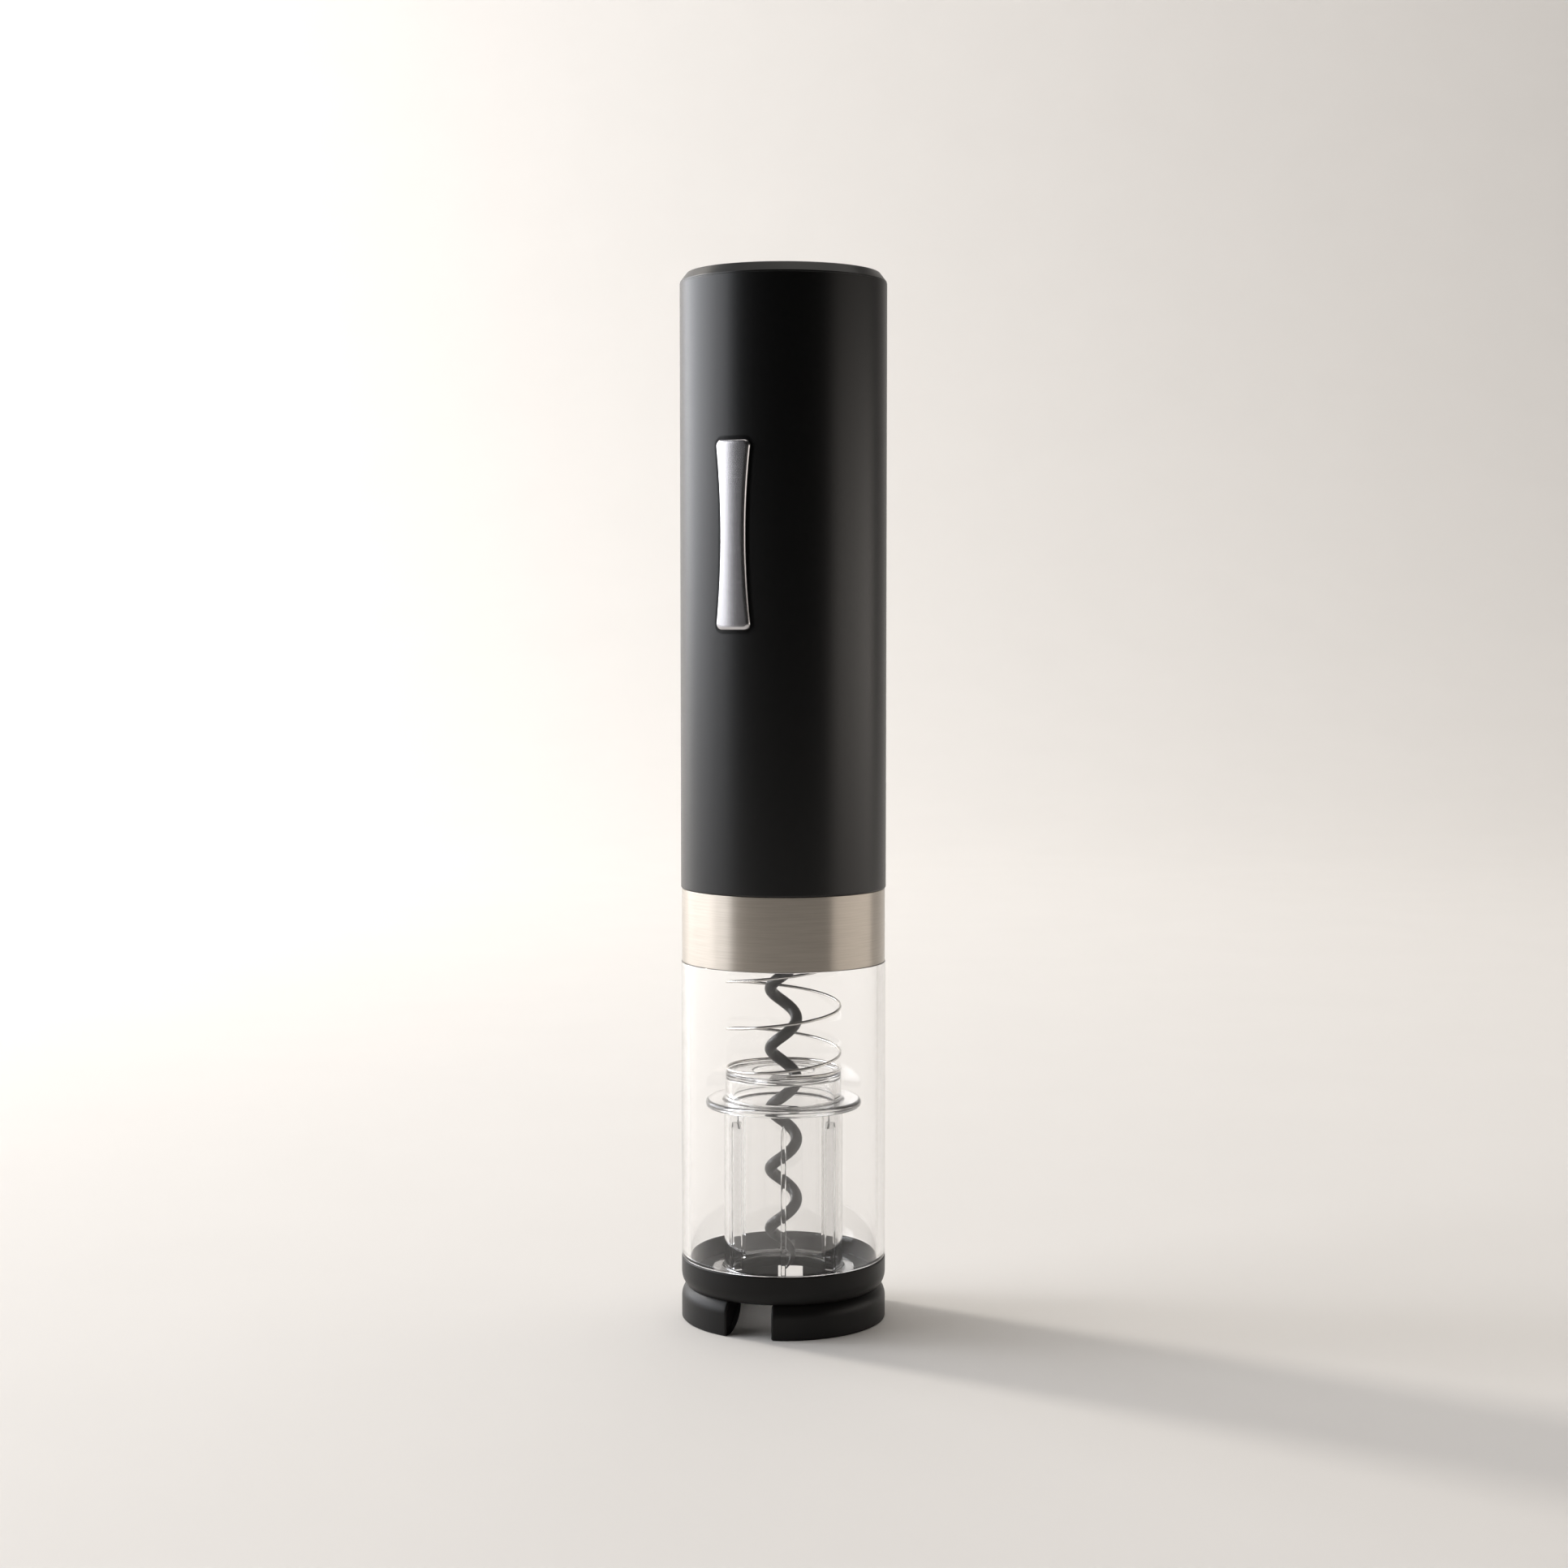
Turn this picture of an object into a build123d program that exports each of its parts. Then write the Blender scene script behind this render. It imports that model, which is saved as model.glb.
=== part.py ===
from build123d import *
import os
from math import acos, cos, pi, radians, sin, tan

# A cordless electric wine opener, standing on its foil cutter.
# Millimetres, +Z up, origin on the floor at the axis, front towards -Y.
# A turn about the axis is in degrees from the front, positive towards +X.

# ---- outside, from the floor up ----
body_diameter = 48.0
cutter_height = 7.9
seat_gap = 0.1            # foil cutter to base ring
base_height = 6.65
window_height = 69.85     # clear sleeve that shows between base ring and steel band
band_height = 17.1
shell_height = 140.0
cap_height = 2.4
cap_straight = 0.3        # straight edge under the cap's slope
cap_straight_inset = 0.1
cap_slope_inset = 1.5
cap_slope_gap = 0.25      # slope's top below the cap's top
cap_top_inset = 1.9

# ---- walls and clearances ----
fit_gap = 0.05            # between pieces pushed together by hand
running_gap = 0.05        # radial, pin to turning bore
shell_wall = 1.6
sleeve_wall = 1.95
sleeve_inset = 0.05
band_wall = 0.5
band_inset = 0.2
collar_wall = 1.55
frame_wall = 1.5
frame_gap = 0.5           # inner frame to shell
cap_floor = 1.2           # cap's hollow starts this far below the shell's top
cap_spigot = 5.5          # cap inside the shell
spigot_share = 0.67       # how far the sleeve's spigot goes up the steel band
skirt_rise = 3.5          # collar's skirt above the steel band's lower edge
register_rise = 6.0       # collar's upper tube above the gearbox's underside
collar_floor_drop = 2.5   # collar's floor below the gearbox
collar_floor_gap = 0.7    # cage spring to the collar's floor
base_rim_round = 0.3
shell_rim_round = 0.45
band_edge = 0.15
screw_head_edge = 0.25    # chamfer of a screw's head, as a share of its height
overshoot = 1.0           # how far a cutting or joining solid goes past the face it meets

# ---- bottle mouth, base ring and foil cutter ----
bottle_radius = 14.75     # glass lip of a wine bottle
bottle_gap = 0.65
base_ledge = 2.6          # ledge that carries sleeve and cage, above the ring's underside
base_lip = 1.3            # straight wall of the bottle hole
base_round_high = 3.0
base_round_in = 1.1
arm_setback = 2.2         # arm's inner wall behind the bottle hole
arm_top_round_high = 3.0
arm_top_round_in = 1.3
arm_foot = 1.5            # flat ring that stands on the floor
arm_foot_edge = 0.3
arm_inner_wall = 1.4      # straight part of the inner wall, below the top face
arm_skin = 1.4            # wall outside the wheel slots
wheel_reach = 0.2         # cutting edge behind the bottle hole
wheel_thickness = 0.6
wheel_bevel = 0.6
wheel_height = 4.6
wheel_side_gap = 0.2
wheel_slot_gap = 0.4
wheel_pin_radius = 0.75
wheel_pin_length = 4.0
wheel_pin_drop = 1.5      # pin's lower end below the wheel's middle
right_arm_turn = (-6.8, 164.0)
left_arm_turn = (-175.7, -33.5)
right_wheel_turns = (40.0, 125.0)
left_wheel_turns = (-60.0, -140.0)
hinge_turn = 174.0
hinge_shift = 0.1         # hinge outside the middle of the arms' wall
hinge_pin_radius = 0.8
knuckle_radius = 2.1
knuckle_thickness = 0.8
knuckle_low = 0.1
knuckle_step = 2.0        # left knuckle up to right knuckle
tab_turn = 14.0
cutter_wire_radius = 0.15
cutter_coil_radius = 1.2
cutter_coil_pitch = 0.35
cutter_coil_gap = 0.1     # coil above the lower knuckle
cutter_leg = 5.0
cutter_leg_gap = 0.4

# ---- cork cage, its spring and the worm ----
cage_radius = 13.95
cage_wall = 1.0
cage_gap = 0.1            # cage foot to base ledge
foot_radius_step = 1.6    # foot outside the bottle hole
foot_thickness = 1.2
flange_height = 42.2      # flange's underside above the base ring's underside
flange_thickness = 1.8
flange_gap = 3.7          # flange to sleeve
collar_height = 6.5
collar_radius = 13.6
collar_ring_wall = 1.5
holder_hole_gap = 1.0
rib_count = 6
rib_width = 1.1
rib_depth = 1.95
rib_bottom_gap = 1.5
rib_top_gap = 1.8
rib_point = 3.0
spring_wire_radius = 0.35
spring_radius = 13.35
spring_pitch = 11.1
spring_crossing = 62.65   # height where a turn of the spring crosses the +X side
worm_wire_radius = 1.375
worm_radius = 3.05
worm_pitch = 14.24
worm_crossing = 56.4      # height where a turn of the worm crosses the +X side
worm_tip = 3.4            # tip above the base ring's underside
worm_taper_turns = 0.65
worm_point = 0.12
worm_tip_curl = 0.62      # how far the tip leans in to the axis, as a share of the worm's radius
worm_taper_power = 1.6    # how late the tip thins out
worm_stations = 12
worm_root = 0.06          # start of the tip inside the full wire, as a share of the tip
worm_root_step = 0.01     # how much thinner the tip starts than the full wire
holder_radius = 6.0
holder_low = -0.5         # from the band's lower edge
holder_grip = 6.0         # worm inside its holder
holder_screw_radius = 1.25
holder_screw_rise = 1.0   # above the middle of the holder's hollow
holder_screw_inset = 0.6
holder_edge = 1.0
holder_gap = 2.0          # holder to gearbox plate
shaft_gap = 2.0           # worm to output shaft, inside the holder

# ---- gearbox ----
gearbox_rise = 4.4        # gearbox above the shell's lower edge
gear_module = 0.6
sun_teeth = 9
planet_teeth = 18
planet_count = 3
pressure_angle = 25.0
addendum_share = 0.8
dedendum_share = 1.05
gear_backlash = 0.06
gear_width = 6.0
gear_side_gap = 0.5
carrier_thickness = 2.6
carrier_pin_radius = 1.0
carrier_rim = 2.4         # carrier outside the planet centres
plate_thickness = 3.0
housing_wall = 3.07
shaft_radius = 3.0
bush_wall = 2.0
bush_drop = 1.0           # bush below the gearbox plate
sun_stub_radius = 1.5
gearbox_screw_count = 4
gearbox_screw_radius = 1.0
gearbox_screw_head = (1.9, 1.4)

# ---- motor ----
motor_radius = 12.2
motor_length = 29.0
motor_wall = 1.0
motor_face = 1.2
motor_cap = 2.0
motor_shaft_radius = 1.0
motor_tail = 1.0
magnet_thickness = 1.4
magnet_turn = 110.0
rotor_gap = 0.6
rotor_end_gap = 4.0
motor_boss_radius = 3.0
motor_boss_gap = 1.0      # boss's end above the rear plate's underside
motor_cap_gap = 0.2
motor_tag = (0.5, 2.0, 2.5)
motor_tag_spread = 7.0
commutator_gap = 1.0
motor_screw_spread = 8.0
motor_screw_radius = 1.2
motor_screw_head = (2.1, 1.3)
motor_screw_bite = 1.0
motor_screw_room = 0.2

# ---- battery cell ----
cell_diameter = 18.4
cell_length = 65.0
cell_offset = 5.5         # away from the button
cell_rise = 6.0           # above the motor's end cap
cell_nub = (2.8, 1.2)
cell_round = 0.6
tab_size = (16.0, 5.0, 0.2)
pad_thickness = 2.0
pad_inset = 1.0

# ---- button, switches and boards ----
button_turn = -28.0
button_rise = 81.6        # button's centre above the shell's lower edge
button_length = 42.8
button_end_width = 9.0
button_waist = 6.4
button_corner = 1.5
button_gap = 0.5          # around the metal face
button_proud = 1.0
button_face_thickness = 1.0
button_bevel = 0.45
button_base_inset = 0.3
button_base_depth = 3.2
pivot_depth = 4.0         # pivot pin's axis inside the shell's outer surface
pivot_pin_radius = 0.75
pivot_boss = (5.4, 4.0, 1.8)
cradle_size = (10.6, 8.0)
cradle_cheek = 1.8
cradle_base = 1.4
cradle_top_gap = 2.8
board_depth = 8.8         # board's outer face inside the shell's outer surface
board_thickness = 1.6
board_size = (14.0, 56.0)
switch_spread = 15.0
switch_side = 6.0
switch_body = 3.4
switch_plunger = (1.75, 0.6)
press_travel = 0.7        # button foot to switch plunger
press_foot = (3.0, 3.0)
board_screw_spread = 25.5
board_screw_radius = 0.8
board_screw_head = (1.6, 0.7)
board_screw_length = 5.0
charge_screw_length = 4.0
crossbar_height = 4.0
crossbar_extra = 6.0      # wider than the board
board_room = 1.0          # frame's openings start this far behind the boards
charge_rise = 46.0        # charging socket above the shell's lower edge
charge_board_depth = 9.2
charge_board_thickness = 1.2
charge_board_size = (17.0, 18.0)
charge_board_shift = 3.0
charge_post_width = 2.0
charge_post_extra = 1.0   # taller than the board
socket_size = (9.0, 3.2)
socket_wall = 0.35
socket_round = 0.49       # corner radius as a share of the height
socket_floor = 1.0
socket_tongue = (6.3, 0.7)
socket_inset = 0.6        # behind the shell's surface
light_rise = 8.0          # light pipe above the socket
light_radius = 1.2

# ---- inner frame ----
frame_motor_ribs = (7.0, 25.0)     # above the motor's face
frame_cell_ribs = (8.0, 56.0)      # above the cell's lower end
frame_rib = 2.0
frame_rib_bite = 0.5
frame_low = 5.0                    # above the motor's face
frame_top_gap = 6.0                # below the shell's top
frame_screw_inset = 2.9            # from the frame's inner face
frame_screw_reach = 6.0
frame_screw_cover = 1.0            # boss beyond the screw's end
frame_screw_radius = 0.9
frame_screw_head = (1.7, 1.4)
frame_boss_radius = 2.4
frame_screw_ends = (9.0, 14.0)     # from the frame's lower and upper end
button_window = (18.0, 58.0)

# ---- places that follow from the sizes above ----
body_radius = body_diameter / 2
base_low = cutter_height + seat_gap
base_top = base_low + base_height
band_low = base_top + window_height
shell_low = band_low + band_height
shell_top = shell_low + shell_height
cap_top = shell_top + cap_height
ledge_height = base_low + base_ledge

shell_bore = body_radius - shell_wall
band_radius = body_radius - band_inset
band_bore = band_radius - band_wall
spigot_radius = band_bore - fit_gap
sleeve_radius = body_radius - sleeve_inset
sleeve_bore = sleeve_radius - sleeve_wall
spigot_top = band_low + spigot_share * band_height
frame_radius = shell_bore - frame_gap
frame_bore = frame_radius - frame_wall
frame_screw_side = frame_bore - frame_screw_inset

hole_radius = bottle_radius + bottle_gap
arm_bore = hole_radius + arm_setback
hinge_radius = (arm_bore + body_radius) / 2 + hinge_shift
wheel_edge = hole_radius + wheel_reach
wheel_radius = (body_radius - arm_skin - wheel_edge) / 2
wheel_centre = wheel_edge + wheel_radius

cage_bore = cage_radius - cage_wall
cage_low = ledge_height + cage_gap
flange_low = base_low + flange_height
flange_top = flange_low + flange_thickness
flange_radius = sleeve_bore - flange_gap
collar_top = flange_top + collar_height

gearbox_low = shell_low + gearbox_rise
collar_floor = gearbox_low - collar_floor_drop
sun_pitch = gear_module * sun_teeth / 2
planet_pitch = gear_module * planet_teeth / 2
ring_teeth = sun_teeth + 2 * planet_teeth
ring_pitch = gear_module * ring_teeth / 2
planet_orbit = sun_pitch + planet_pitch
addendum = addendum_share * gear_module
dedendum = dedendum_share * gear_module
gearbox_radius = ring_pitch + dedendum + housing_wall
carrier_radius = planet_orbit + carrier_rim
plate_top = gearbox_low + plate_thickness
output_low = plate_top + 2 * gear_side_gap
second_gears = output_low + carrier_thickness + gear_side_gap
first_carrier_low = second_gears + gear_width + gear_side_gap
first_gears = first_carrier_low + carrier_thickness + gear_side_gap
rear_plate_low = first_gears + gear_width + 2 * gear_side_gap
motor_low = rear_plate_low + plate_thickness
motor_cap_low = motor_low + motor_length
motor_top = motor_cap_low + motor_cap
cell_low = motor_top + cell_rise
cell_top = cell_low + cell_length
screw_orbit = (ring_pitch + dedendum + gearbox_radius) / 2

worm_low = base_low + worm_tip
worm_taper_start = worm_low + worm_taper_turns * worm_pitch
holder_bottom = band_low + holder_low
holder_top = gearbox_low - holder_gap
worm_top = holder_bottom + holder_grip
shaft_low = worm_top + shaft_gap

button_height = shell_low + button_rise
pivot_radius = body_radius - pivot_depth
board_face = body_radius - board_depth
charge_height = shell_low + charge_rise
charge_face = body_radius - charge_board_depth
frame_bottom = motor_low + frame_low
frame_top = shell_top - frame_top_gap


# ---- shared shapes ----
def place(turn, radius, height=0.0):
    """A point at a turn from the front, a radius from the axis and a height."""
    return (radius * sin(radians(turn)), -radius * cos(radians(turn)), height)


def outward(turn, radius, height):
    """A plane that faces away from the axis: local X goes round, local Y goes up."""
    across = (cos(radians(turn)), sin(radians(turn)), 0.0)
    facing = (sin(radians(turn)), -cos(radians(turn)), 0.0)
    return Plane(origin=place(turn, radius, height), x_dir=across, z_dir=facing)


def disc(radius, low, high):
    """A solid cylinder on the axis between two heights."""
    return Pos(0, 0, low) * Cylinder(radius, high - low, align=(Align.CENTER, Align.CENTER, Align.MIN))


def ring(outer, inner, low, high):
    """A tube on the axis between two heights."""
    return disc(outer, low, high) - disc(inner, low, high)


def block(width, depth, height):
    """A box that stands on its plane, centred on the other two ways."""
    return Box(width, depth, height, align=(Align.CENTER, Align.CENTER, Align.MIN))


def turned(points):
    """A piece turned on the axis, from its half section of (radius, height) points."""
    return revolve(make_face(Plane.XZ * Polyline(*points, close=True)), Axis.Z)


def screw(radius, length, head):
    """A pan-head screw along +Z with its head on the plane, below it."""
    head_radius, head_height = head
    shank = disc(radius, 0.0, length)
    cap = disc(head_radius, -head_height, 0.0)
    return shank + chamfer(cap.edges().group_by(Axis.Z)[0], head_height * screw_head_edge)


def coil(radius, wire, pitch, low, high, crossing):
    """A right-handed wire coil whose turns cross the +X side at the crossing height."""
    path = Helix(pitch, high - low, radius)
    section = Plane(origin=path @ 0, z_dir=path % 0) * Circle(wire)
    wound = sweep(section, path=path, is_frenet=True)
    return Pos(0, 0, low) * Rot(0, 0, 360 * (low - crossing) / pitch) * wound


def save(name, piece):
    """Write one node's file."""
    export_step(piece, f"parts/{name}.step")


# ---- foil cutter ----
def arm_section():
    """Half section of a foil cutter arm: flat top, rounded shoulder, hollowed inner side."""
    top = cutter_height
    shoulder_low = top - arm_top_round_high
    shoulder_in = body_radius - arm_top_round_in
    foot_out = body_radius - arm_foot_edge
    foot_in = foot_out - arm_foot
    wall_low = top - arm_inner_wall
    outline = Line((arm_bore, top), (shoulder_in, top))
    outline += TangentArc((body_radius, shoulder_low), (shoulder_in, top), tangent=(0, 1))
    outline += Line((body_radius, shoulder_low), (body_radius, arm_foot_edge))
    outline += Line((body_radius, arm_foot_edge), (foot_out, 0))
    outline += Line((foot_out, 0), (foot_in, 0))
    outline += TangentArc((arm_bore, wall_low), (foot_in, 0), tangent=(0, -1))
    outline += Line((arm_bore, wall_low), (arm_bore, top))
    return make_face(Plane.XZ * outline)


def wheel_pins(turns):
    """The pins that a foil cutter arm's cutting wheels turn on."""
    low = wheel_height - wheel_pin_drop
    pins = [disc(wheel_pin_radius, low, low + wheel_pin_length) for turn in turns]
    return Part() + [Pos(*place(turn, wheel_centre)) * pin for turn, pin in zip(turns, pins)]


def cutter_arm(turn_range, wheel_turns, tab_range, tab_low, bore):
    """One arm of the foil cutter, with its wheel slots and its hinge knuckle."""
    start, end = turn_range
    arm = Rot(0, 0, start - 90) * revolve(arm_section(), Axis.Z, end - start)
    slot_half = wheel_thickness / 2 + wheel_side_gap
    slot = disc(wheel_radius + wheel_slot_gap, wheel_height - slot_half, wheel_height + slot_half)
    for turn in wheel_turns:
        arm -= Pos(*place(turn, wheel_centre)) * slot
    arm -= wheel_pins(wheel_turns)
    tab_start, tab_end = tab_range
    tab_face = Pos(hinge_radius, tab_low + knuckle_thickness / 2) * Rectangle(
        2 * knuckle_radius, knuckle_thickness)
    arm += Rot(0, 0, tab_start - 90) * revolve(Plane.XZ * tab_face, Axis.Z, tab_end - tab_start)
    hinge = Pos(*place(hinge_turn, hinge_radius))
    arm += hinge * disc(knuckle_radius, tab_low, tab_low + knuckle_thickness)
    arm -= hinge * disc(bore, tab_low, tab_low + knuckle_thickness)
    return arm - cutter_spring(cutter_leg_gap)


def cutter_spring(room=0.0):
    """Torsion spring on the hinge pin. With room, the pocket that its legs lie in."""
    low = knuckle_low + knuckle_thickness + cutter_coil_gap + cutter_wire_radius
    high = low + 2 * cutter_coil_pitch
    hinge = Pos(*place(hinge_turn, hinge_radius))
    across = Rot(0, 0, hinge_turn - 180)
    legs = Part()
    for side, height in ((-1, low), (1, high)):
        middle = side * (cutter_leg / 2 - 2 * cutter_wire_radius)
        leg = Rot(0, 90, 0) * Cylinder(cutter_wire_radius + room, cutter_leg)
        legs += across * Pos(middle, -cutter_coil_radius, height) * leg
    if room:
        return hinge * legs
    path = Helix(cutter_coil_pitch, high - low, cutter_coil_radius)
    section = Plane(origin=path @ 0, z_dir=path % 0) * Circle(cutter_wire_radius)
    wound = Pos(0, 0, low) * across * Rot(0, 0, -90) * sweep(section, path=path, is_frenet=True)
    return hinge * (wound + legs)


def cutting_wheel():
    """A steel cutting wheel, bevelled to an edge."""
    bore = wheel_pin_radius + running_gap
    half = wheel_thickness / 2
    flat = wheel_radius - wheel_bevel
    return turned([(bore, -half), (flat, -half), (wheel_radius, 0), (flat, half), (bore, half)])


def make_foil_cutter():
    """Both arms, hinge, spring, pins and wheels."""
    left_tab = (hinge_turn, hinge_turn + tab_turn)
    right_tab = (hinge_turn - tab_turn, hinge_turn)
    left_bore = hinge_pin_radius
    right_bore = hinge_pin_radius + running_gap
    save("cutter_left_arm",
         cutter_arm(left_arm_turn, left_wheel_turns, left_tab, knuckle_low, left_bore))
    save("cutter_right_arm",
         cutter_arm(right_arm_turn, right_wheel_turns, right_tab, knuckle_low + knuckle_step, right_bore))
    save("left_wheel_pins", wheel_pins(left_wheel_turns))
    save("right_wheel_pins", wheel_pins(right_wheel_turns))
    for number, turn in enumerate(right_wheel_turns + left_wheel_turns, start=1):
        save(f"cutting_wheel_{number}", Pos(*place(turn, wheel_centre, wheel_height)) * cutting_wheel())
    pin_top = knuckle_low + knuckle_step + knuckle_thickness
    pin = disc(hinge_pin_radius, knuckle_low, pin_top)
    save("cutter_hinge_pin", Pos(*place(hinge_turn, hinge_radius)) * pin)
    save("cutter_spring", cutter_spring())


# ---- outside tube ----
def base_ring():
    """Black ring with the bottle hole and the ledge that carries sleeve and cage."""
    wall = spigot_radius + fit_gap
    round_top = base_low + base_round_high
    round_in = body_radius - base_round_in
    lead = base_ledge - base_lip
    outline = Line((hole_radius, base_low), (round_in, base_low))
    outline += TangentArc((body_radius, round_top), (round_in, base_low), tangent=(0, -1))
    outline += Line((body_radius, round_top), (body_radius, base_top))
    outline += Polyline((body_radius, base_top), (wall, base_top), (wall, ledge_height),
                        (hole_radius + lead, ledge_height), (hole_radius, base_low + base_lip),
                        (hole_radius, base_low))
    piece = revolve(make_face(Plane.XZ * outline), Axis.Z)
    rim = piece.edges().group_by(Axis.Z)[-1]
    return fillet(rim.sort_by(SortBy.LENGTH)[-1], base_rim_round)


def clear_sleeve():
    """Clear tube with a spigot at each end."""
    return turned([(sleeve_bore, ledge_height), (spigot_radius, ledge_height), (spigot_radius, base_top),
                   (sleeve_radius, base_top), (sleeve_radius, band_low), (spigot_radius, band_low),
                   (spigot_radius, spigot_top), (sleeve_bore, spigot_top)])


def steel_band():
    """Brushed steel trim ring."""
    band = ring(band_radius, band_bore, band_low, shell_low)
    ends = band.edges().group_by(Axis.Z)
    rims = [ends[0].sort_by(SortBy.LENGTH)[-1], ends[-1].sort_by(SortBy.LENGTH)[-1]]
    return chamfer(rims, band_edge)


def joint_collar():
    """Collar under the steel band: it joins sleeve, band and shell and carries the gearbox."""
    skirt = sleeve_bore - fit_gap
    register = shell_bore - fit_gap
    skirt_low = band_low + skirt_rise
    register_top = gearbox_low + register_rise
    floor_bore = spring_radius + spring_wire_radius + collar_floor_gap
    piece = turned([(skirt - collar_wall, skirt_low), (skirt, skirt_low), (skirt, spigot_top),
                    (spigot_radius, spigot_top), (spigot_radius, shell_low), (register, shell_low),
                    (register, register_top), (register - collar_wall, register_top),
                    (register - collar_wall, gearbox_low), (floor_bore, gearbox_low),
                    (floor_bore, collar_floor), (skirt - collar_wall, collar_floor)])
    return piece - gearbox_screws()


def button_outline(grow):
    """Waisted outline of the rocker, grown by an amount all round."""
    half_long = button_length / 2
    half_end = button_end_width / 2
    half_waist = button_waist / 2
    right = ThreePointArc((half_end, -half_long), (half_waist, 0), (half_end, half_long))
    left = ThreePointArc((-half_end, half_long), (-half_waist, 0), (-half_end, -half_long))
    top = Line((half_end, half_long), (-half_end, half_long))
    bottom = Line((-half_end, -half_long), (half_end, -half_long))
    face = make_face(right + left + top + bottom)
    face = fillet(face.vertices(), button_corner)
    return offset(face, amount=grow) if grow else face


def socket_outline(grow):
    """Round-ended outline of the charging socket."""
    width, height = socket_size
    return RectangleRounded(width + 2 * grow, height + 2 * grow, height * socket_round + grow)


def body_shell():
    """Upper casing, a tube with the button's hole and the charging hole."""
    shell = ring(body_radius, shell_bore, shell_low, shell_top)
    lower_rim = shell.edges().group_by(Axis.Z)[0].sort_by(SortBy.LENGTH)[-1]
    shell = fillet(lower_rim, shell_rim_round)
    shell -= extrude(outward(button_turn, pivot_radius, button_height) * button_outline(button_gap),
                     2 * pivot_depth)
    shell -= extrude(outward(180, charge_face, charge_height) * socket_outline(2 * fit_gap),
                     2 * charge_board_depth)
    shell -= extrude(outward(180, charge_face, charge_height + light_rise) * Circle(light_radius + fit_gap),
                     2 * charge_board_depth)
    return shell


def top_cap():
    """Chamfered cap that closes the shell."""
    spigot = shell_bore - fit_gap
    hollow = spigot - collar_wall
    floor = shell_top - cap_floor
    spigot_low = shell_top - cap_spigot
    straight = body_radius - cap_straight_inset
    return turned([(0, floor), (hollow, floor), (hollow, spigot_low), (spigot, spigot_low),
                   (spigot, shell_top), (straight, shell_top), (straight, shell_top + cap_straight),
                   (body_radius - cap_slope_inset, cap_top - cap_slope_gap),
                   (body_radius - cap_top_inset, cap_top), (0, cap_top)])


def make_outside():
    """The outside tube, from base ring to cap."""
    save("base_ring", base_ring())
    save("clear_sleeve", clear_sleeve())
    save("steel_band", steel_band())
    save("joint_collar", joint_collar())
    save("body_shell", body_shell())
    save("top_cap", top_cap())


# ---- cork cage, spring and worm ----
def cage_rib(turn):
    """One gripping rib inside the cage, pointed at the top."""
    low = cage_low + rib_bottom_gap
    high = flange_low - rib_top_gap
    half = rib_width / 2
    outline = Polyline((-half, low), (half, low), (half, high - rib_point), (0, high),
                       (-half, high - rib_point), close=True)
    return extrude(outward(turn, cage_bore - rib_depth, 0) * make_face(outline), rib_depth + cage_wall / 2)


def cork_cage():
    """Clear cage that steadies the bottle's mouth and grips the cork."""
    collar_bore = collar_radius - collar_ring_wall
    plate_low = collar_top - collar_ring_wall
    hole = holder_radius + holder_hole_gap
    foot = hole_radius + foot_radius_step
    foot_top = cage_low + foot_thickness
    cage = turned([(cage_bore, cage_low), (foot, cage_low), (foot, foot_top), (cage_radius, foot_top),
                   (cage_radius, flange_low), (flange_radius, flange_low), (flange_radius, flange_top),
                   (collar_radius, flange_top), (collar_radius, collar_top), (hole, collar_top),
                   (hole, plate_low), (collar_bore, plate_low), (collar_bore, flange_low),
                   (cage_bore, flange_low)])
    for number in range(rib_count):
        cage += cage_rib(number * 360 / rib_count)
    return cage


def cage_spring():
    """Spring that pushes the cage down, seated on its collar and under the gearbox."""
    return coil(spring_radius, spring_wire_radius, spring_pitch, collar_top + spring_wire_radius,
                gearbox_low - spring_wire_radius, spring_crossing)


def worm_centre(share):
    """Centre line of the worm's tip: share 0 where the taper starts, 1 at the point."""
    turns = -worm_taper_turns * share
    height = worm_taper_start + worm_pitch * turns
    angle = 2 * pi * (height - worm_crossing) / worm_pitch
    radius = worm_radius * (1 - worm_tip_curl * share ** 2)
    return Vector(radius * cos(angle), radius * sin(angle), height)


def worm_station(share):
    """Section of the worm's tip, square to its centre line."""
    step = 0.001
    ahead = worm_centre(share - step) - worm_centre(share + step)
    centre = worm_centre(share)
    root = worm_wire_radius - worm_root_step
    radius = worm_point + (root - worm_point) * (1 - max(share, 0) ** worm_taper_power)
    across = ahead.cross(Vector(centre.X, centre.Y, 0))
    return Plane(origin=centre, x_dir=across, z_dir=ahead) * Circle(radius)


def worm():
    """Right-handed corkscrew wire with a tapered point."""
    wire = coil(worm_radius, worm_wire_radius, worm_pitch, worm_taper_start, worm_top, worm_crossing)
    shares = [-worm_root] + [number / worm_stations for number in range(worm_stations + 1)]
    tip = Part()
    for share, next_share in zip(shares, shares[1:]):
        tip += loft([worm_station(share), worm_station(next_share)], ruled=True)
    return wire + tip


def holder_bar(inner, outer):
    """A bar across the holder, where its grub screw goes."""
    height = (worm_top + holder_top) / 2 + holder_screw_rise
    return extrude(outward(90, inner, height) * Circle(holder_screw_radius), outer - inner)


def worm_holder():
    """Hub that carries the worm below and fits the output shaft above."""
    hub = disc(holder_radius, holder_bottom, holder_top)
    hub = chamfer(hub.edges().group_by(Axis.Z)[0], holder_edge)
    hub -= disc(shaft_radius, shaft_low, holder_top)
    return hub - holder_bar(0, holder_radius + overshoot)


def holder_screw():
    """Grub screw that locks the holder on the output shaft."""
    return holder_bar(shaft_radius, holder_radius - holder_screw_inset)


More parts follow.
